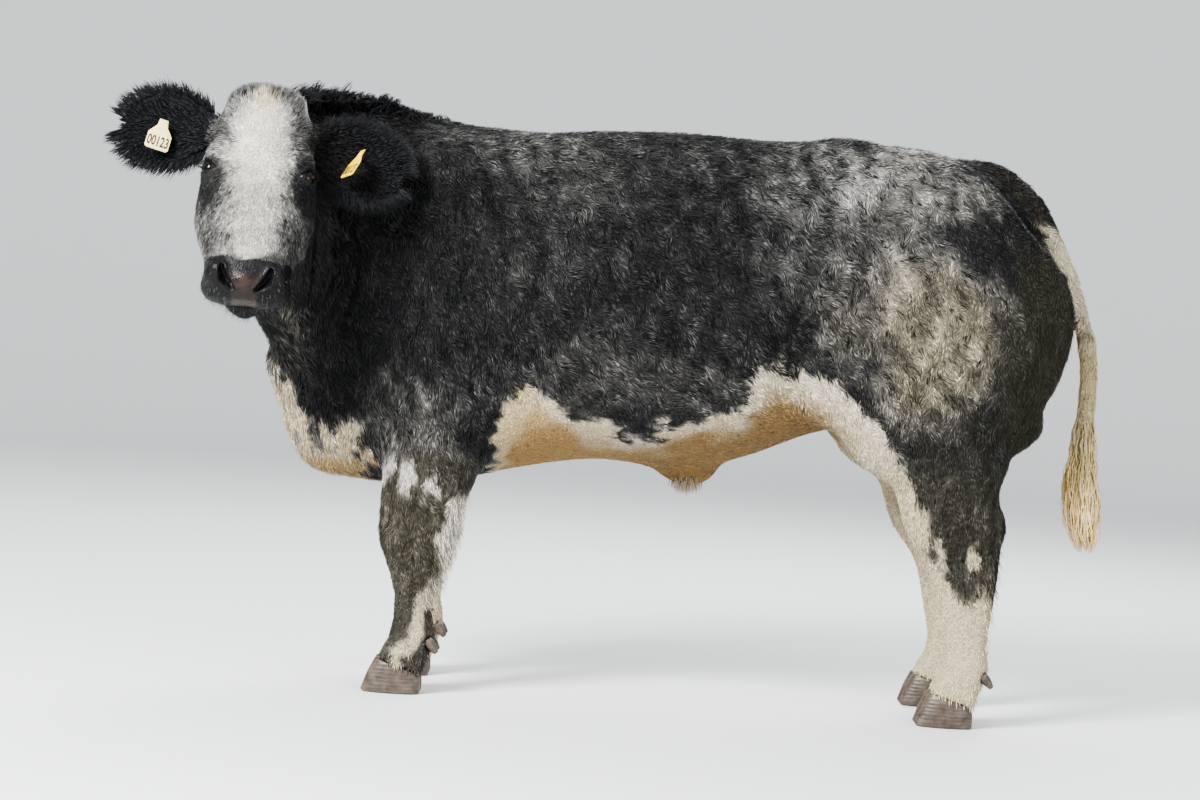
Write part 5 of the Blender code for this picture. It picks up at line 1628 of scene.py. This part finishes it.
def coat_material():
    material, tree, shader = new_material("coat")
    tone = attribute(tree, "coat_tone")
    mixed = mottled(tree, tone.outputs["Color"], 160.0, 0.75, 1.25)
    tree.links.new(mixed.outputs["Colour"], shader.inputs["Base Color"])
    shader.inputs["Roughness"].default_value = 0.50
    shader.inputs["Specular IOR Level"].default_value = 0.20
    return material


def mixed_colours(tree, share, first, second):
    """Goes from the first colour to the second as share does from 0 to 1."""
    made = node(tree, "ShaderNodeMix", data_type="RGBA")
    for name, socket in (("Factor", share), ("A", first), ("B", second)):
        tree.links.new(socket, made.inputs[name])
    return made.outputs["Result"]


def hide_material(name, gloss):
    """Skin under the coat, bare black leather on the muzzle and lids, wet on the pad."""
    material, tree, shader = new_material(name)
    shader.inputs["Specular IOR Level"].default_value = gloss
    link = tree.links.new
    tone, bare, wet = (attribute(tree, name) for name in ("coat_tone", "bare", "wet"))
    under = mottled(tree, tone.outputs["Color"], 220.0, 0.55, 1.15)
    leather = mottled(tree, LEATHER, 60.0, 0.6, 1.5)
    pad = mottled(tree, WET_PAD, 38.0, 0.35, 1.3)
    dry = mixed_colours(tree, bare.outputs["Fac"], under.outputs["Colour"], leather.outputs["Colour"])
    whole = mixed_colours(tree, wet.outputs["Fac"], dry, pad.outputs["Colour"])
    link(whole, shader.inputs["Base Color"])
    # Leather is smoother than the skin under the coat, and the wet pad smoother still
    rough = node(tree, "ShaderNodeMapRange")
    link(bare.outputs["Fac"], rough.inputs["Value"])
    rough.inputs["To Min"].default_value = SKIN_ROUGH
    rough.inputs["To Max"].default_value = LEATHER_ROUGH
    wetter = node(tree, "ShaderNodeMath", operation="MULTIPLY_ADD")
    link(wet.outputs["Fac"], wetter.inputs[0])
    wetter.inputs[1].default_value = PAD_ROUGH - LEATHER_ROUGH
    link(rough.outputs["Result"], wetter.inputs[2])
    link(wetter.outputs["Value"], shader.inputs["Roughness"])
    # Pebbled leather, and fine grain all over
    place = node(tree, "ShaderNodeTexCoord")
    pebbles = node(tree, "ShaderNodeTexVoronoi", feature="SMOOTH_F1", Scale=330.0)
    link(place.outputs["Object"], pebbles.inputs["Vector"])
    raised = node(tree, "ShaderNodeMath", operation="MULTIPLY")
    link(pebbles.outputs["Distance"], raised.inputs[0])
    link(bare.outputs["Fac"], raised.inputs[1])
    fine = node(tree, "ShaderNodeTexNoise", Scale=900.0, Detail=2.0)
    link(place.outputs["Object"], fine.inputs["Vector"])
    both = node(tree, "ShaderNodeMath", operation="MULTIPLY_ADD")
    link(fine.outputs["Fac"], both.inputs[0])
    both.inputs[1].default_value = 0.35
    link(raised.outputs["Value"], both.inputs[2])
    bump = node(tree, "ShaderNodeBump", Strength=0.55, Distance=0.0012)
    link(both.outputs["Value"], bump.inputs["Height"])
    link(bump.outputs["Normal"], shader.inputs["Normal"])
    return material


def eye_material():
    """A wet dark iris with a level pupil."""
    material, tree, shader = new_material("eye")
    link = tree.links.new
    iris, pupil = attribute(tree, "from_iris"), attribute(tree, "from_pupil")
    ring = node(tree, "ShaderNodeValToRGB")
    stops = ring.color_ramp.elements
    for stop, (position, colour) in zip(stops, IRIS):
        stop.position, stop.color = position, colour
    for position, colour in IRIS[2:]:
        stops.new(position).color = colour
    link(iris.outputs["Fac"], ring.inputs["Fac"])
    mixed = mottled(tree, ring.outputs["Color"], 700.0, 0.6, 1.5)
    hole = node(tree, "ShaderNodeMapRange")
    link(pupil.outputs["Fac"], hole.inputs["Value"])
    hole.inputs["From Min"].default_value = 0.85
    hole.inputs["From Max"].default_value = 1.15
    both = node(tree, "ShaderNodeMix", data_type="RGBA")
    both.inputs["A"].default_value = PUPIL
    link(hole.outputs["Result"], both.inputs["Factor"])
    link(mixed.outputs["Colour"], both.inputs["B"])
    link(both.outputs["Result"], shader.inputs["Base Color"])
    shader.inputs["Roughness"].default_value = 0.05
    shader.inputs["Specular IOR Level"].default_value = 0.28
    return material


def horn_material():
    """Horn with soft rings of growth."""
    material, tree, shader = new_material("hoof_horn")
    link = tree.links.new
    place = node(tree, "ShaderNodeTexCoord")
    rings = node(tree, "ShaderNodeTexWave", bands_direction="Z", Scale=38.0, Distortion=2.5, Detail=2.0)
    link(place.outputs["Object"], rings.inputs["Vector"])
    base = mottled(tree, HORN, 55.0, 0.45, 1.5)
    shade = node(tree, "ShaderNodeMapRange")
    link(rings.outputs["Fac"], shade.inputs["Value"])
    shade.inputs["To Min"].default_value = 0.88
    shade.inputs["To Max"].default_value = 1.08
    scaled = node(tree, "ShaderNodeVectorMath", operation="SCALE")
    link(base.outputs["Colour"], scaled.inputs[0])
    link(shade.outputs["Result"], scaled.inputs["Scale"])
    link(scaled.outputs["Vector"], shader.inputs["Base Color"])
    bump = node(tree, "ShaderNodeBump", Strength=0.3, Distance=0.001)
    link(rings.outputs["Fac"], bump.inputs["Height"])
    link(bump.outputs["Normal"], shader.inputs["Normal"])
    shader.inputs["Roughness"].default_value = 0.42
    return material


def tag_material(name, colour):
    material, tree, shader = new_material(name)
    base = mottled(tree, colour, 90.0, 0.86, 1.06)
    tree.links.new(base.outputs["Colour"], shader.inputs["Base Color"])
    bump = node(tree, "ShaderNodeBump", Strength=0.15, Distance=0.0004)
    tree.links.new(base.outputs["Amount"], bump.inputs["Height"])
    tree.links.new(bump.outputs["Normal"], shader.inputs["Normal"])
    shader.inputs["Roughness"].default_value = 0.38
    return material


# Hooves, dewclaws and tags: the solids with softened edges


def softened(nodes, name, finish, width, subdivide):
    """Copies of these solids with rounded edges, standing for them."""
    piece = joined([solid_copy(n) for n in nodes], name)
    modify(piece, "BEVEL", width=width, segments=2, limit_method="ANGLE", angle_limit=math.radians(40))
    if subdivide:
        modify(piece, "SUBSURF", levels=1, render_levels=1)
    only(piece)
    bpy.ops.object.shade_smooth_by_angle(angle=math.radians(50))
    piece.data.materials.append(finish)
    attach(piece, "root")
    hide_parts(*nodes)
    return piece


# The tags' place on the ear, as the solids have it: share along, rise, lean and turn
TAG_PLACE = {-1: (0.575, 0.004, -8, -12), 1: (0.525, 0.014, -24, 58)}
TAG_FIGURES = "00123"
# Size of the figures, how much taller they are drawn, how thick, and how much bolder
FIGURE_SIZE = 0.0185
FIGURE_TALLER = 1.8
FIGURE_DEPTH = 0.00025
FIGURE_BOLD = 0.0004


def tag_number(side, name, ink):
    """Plain raised figures on the plate."""
    root, tip, upper, opening = ear_axes(side)
    share, rise, lean, turn = TAG_PLACE[side]
    hole = root + tip * (EAR_LENGTH * share) + upper * rise - opening * 0.021
    turned = Matrix.Rotation(math.radians(lean), 3, "Y") @ Matrix.Rotation(math.radians(turn), 3, "Z")
    across, out, down = (turned @ Vector(axis) for axis in ((1, 0, 0), (0, 1, 0), (0, 0, 1)))
    plate = hole + opening * (0.028 + abs(math.sin(math.radians(turn))) * 0.025)
    middle = plate + out * 0.0019 + down * 0.044
    bpy.ops.object.text_add()
    figures = bpy.context.active_object.data
    figures.body = TAG_FIGURES
    figures.align_x, figures.align_y = "CENTER", "CENTER"
    figures.size, figures.extrude, figures.offset = FIGURE_SIZE, FIGURE_DEPTH, FIGURE_BOLD
    figures.resolution_u = 3
    bpy.ops.object.convert(target="MESH")
    piece = settle(bpy.context.active_object)
    piece.name = piece.data.name = name
    places = []
    for x, y, z in points_of(piece):
        places.append(on_head(middle + across * x - down * (y * FIGURE_TALLER) + out * z))
    set_points(piece, np.array(places))
    piece.data.materials.append(ink)
    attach(piece, "root")
    return piece


def foot_nodes(kind):
    return [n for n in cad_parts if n.startswith(kind + "_")]


# Floor, light and camera

# Rings of the flat floor, radius of its rise into the wall, and the wall's levels
FLOOR_RINGS = (4.0, 8.5)
FLAT = FLOOR_RINGS[-1]
RISE = 3.5
WALL_LEVELS = (6.5, 11.0)
TURNS = 96
# Each lamp's name, place, aim, size and power
LAMPS = (
    ("key", (-3.3, -4.0, 4.0), (-0.2, 0.0, 0.75), 2.0, 1060),
    ("fill", (3.6, -4.4, 2.6), (0.2, 0.0, 0.7), 3.4, 185),
    ("rim", (1.2, 3.6, 4.2), (0.0, 0.0, 1.0), 2.4, 240),
)
SKY = (0.93, 0.97, 1.0, 1)
SKY_STRENGTH = 1.10
# The photograph's view, from the beast's own origin: place, lens in millimetres, tilt down and roll
CAMERA_PLACE = Vector((-0.19, -6.0, 0.86))
CAMERA_LENS = 81.0
CAMERA_TILT = math.atan(92.3 / 2700)
CAMERA_ROLL = math.radians(3.6)


def sweep():
    """The floor runs up into a round wall without an edge."""
    profile = [(radius, 0.0) for radius in FLOOR_RINGS]
    for angle in np.linspace(0.1, math.pi / 2, 14):
        profile.append((FLAT + RISE * math.sin(angle), RISE - RISE * math.cos(angle)))
    profile += [(FLAT + RISE, level) for level in WALL_LEVELS]
    bm = bmesh.new()
    rings = []
    for radius, level in profile:
        ring = []
        for n in range(TURNS):
            angle = 2 * math.pi * n / TURNS
            ring.append(bm.verts.new((radius * math.cos(angle), radius * math.sin(angle), level)))
        rings.append(ring)
    bm.faces.new(rings[0])
    bridge(bm, rings[::-1])
    floor = from_bmesh(bm, "floor")
    only(floor)
    bpy.ops.object.shade_smooth()
    return floor


def stage():
    floor = sweep()
    material, _, shader = new_material("pale_floor")
    shader.inputs["Base Color"].default_value = FLOOR_GREY
    shader.inputs["Roughness"].default_value = 0.85
    shader.inputs["Specular IOR Level"].default_value = 0.2
    floor.data.materials.append(material)
    world = bpy.data.worlds.new("studio")
    bpy.context.scene.world = world
    world.use_nodes = True
    sky = world.node_tree.nodes["Background"]
    sky.inputs["Color"].default_value = SKY
    sky.inputs["Strength"].default_value = SKY_STRENGTH
    for name, place, aim, size, power in LAMPS:
        light = bpy.data.lights.new(name, "AREA")
        light.energy, light.size = power, size
        lamp = linked(name, light)
        lamp.location = place
        lamp.rotation_euler = (Vector(aim) - Vector(place)).to_track_quat("-Z", "Y").to_euler()
    bpy.context.scene.view_settings.look = "AgX - Medium High Contrast"


def camera():
    """A long lens at the animal's left side, a little below its back."""
    data = bpy.data.cameras.new("camera")
    data.sensor_width, data.lens = 36.0, CAMERA_LENS
    eye = linked("camera", data)
    eye.matrix_world = (
        Matrix.Translation(ORIGIN + CAMERA_PLACE)
        @ Matrix.Rotation(math.pi / 2 - CAMERA_TILT, 4, "X")
        @ Matrix.Rotation(CAMERA_ROLL, 4, "Z")
    )
    bpy.context.scene.camera = eye


# How much less white and how much darker the skin is painted than the hair over it, as painted shade in
# the gaps between the tufts, where bare skin counts as leather, and the gloss of the hide and of the
# leather
SKIN_WHITE = 0.9
GAP_SHADE = 0.60
LEATHER_FROM = 0.35
HIDE_GLOSS = 0.04
NOSE_GLOSS = 0.18


def shaped_hide(eyes):
    """The one skin with its lids and ears, and each place's shares of the parts of the beast."""
    hide, sources = fused_hide()
    fine_muzzle(hide)
    shape_face(hide)
    fold_neck(hide)
    extra = []
    for name, eye in eyes.items():
        heights = skin_heights(hide, eye)
        sink_hide(hide, eye, heights)
        extra.append(lids(eye, heights, name))
    shares = spread_out(nearest_parts(hide, sources), edges_of(hide), LAST_BLEND)
    for piece, _ in sources:
        bpy.data.objects.remove(piece)
    bare, wet = muzzle_mask(to_head(points_of(hide)))
    keep_number(hide, "bare", bare * shares[:, HEAD])
    keep_number(hide, "wet", wet * shares[:, HEAD])
    extra += [ear_skin(side) for side, _ in SIDES]
    counts = [len(piece.data.vertices) for piece in extra]
    added = np.repeat(np.eye(PARTS)[[LID, LID, EAR, EAR]], counts, axis=0)
    joined([hide, *extra], "hide")
    return hide, np.vstack((shares, added))


def finish_hide(hide, shares, finishes):
    """Marks the skin as its hair is marked, and returns where hair grows."""
    white, warm, tan, brown = marks(points_of(hide), shares)
    # Painted shade: the skin is painted darker than its hair, for the shade in the gaps between the tufts
    keep_tone(hide, hair_colour(white * SKIN_WHITE, warm, tan, brown) * GAP_SHADE)
    bare, wet = kept_number(hide, "bare"), kept_number(hide, "wet")
    fur = 1 - np.clip(bare * (0.5 + 0.7 * ramp(shares[:, LID], 0.4, 0.6)) + wet * 1.5, 0, 1)
    hide.data.materials.clear()
    for finish in finishes:
        hide.data.materials.append(finish)
    faces = hide.data.polygons
    leather = [int(bare[list(face.vertices)].mean() > LEATHER_FROM) for face in faces]
    faces.foreach_set("material_index", leather)
    only(hide)
    bpy.ops.object.shade_smooth()
    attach(hide, "root")
    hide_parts(*FLESH, "ear_left", "ear_right", "tail_switch")
    return fur


def main():
    coat_finish = coat_material()
    hide_finishes = [hide_material("hide", HIDE_GLOSS), hide_material("nose", NOSE_GLOSS)]
    eyes = {name: eye_frame(side, name) for side, name in SIDES}
    hide, shares = shaped_hide(eyes)
    skin = Skin(hide, shares, finish_hide(hide, shares, hide_finishes))
    unwrap = Unwrap(hide)
    coat(skin, unwrap, coat_finish)
    long_hairs(skin, eyes, unwrap, coat_finish)
    eye_finish = eye_material()
    for name, eye in eyes.items():
        eyeball(eye, name, eye_finish)
    horn = horn_material()
    softened(foot_nodes("hoof"), "hooves", horn, 0.0015, True)
    softened(foot_nodes("dewclaw"), "dewclaws", horn, 0.0015, True)
    yellow, cream = tag_material("tag_yellow", TAG_YELLOW), tag_material("tag_cream", TAG_CREAM)
    softened(["tag_left"], "tag_near", yellow, 0.0005, False)
    softened(["tag_right"], "tag_far", cream, 0.0005, False)
    ink = tag_material("tag_ink", INK)
    for side, name in SIDES:
        tag_number(side, "tag_number_" + name, ink)
    stage()
    camera()


main()
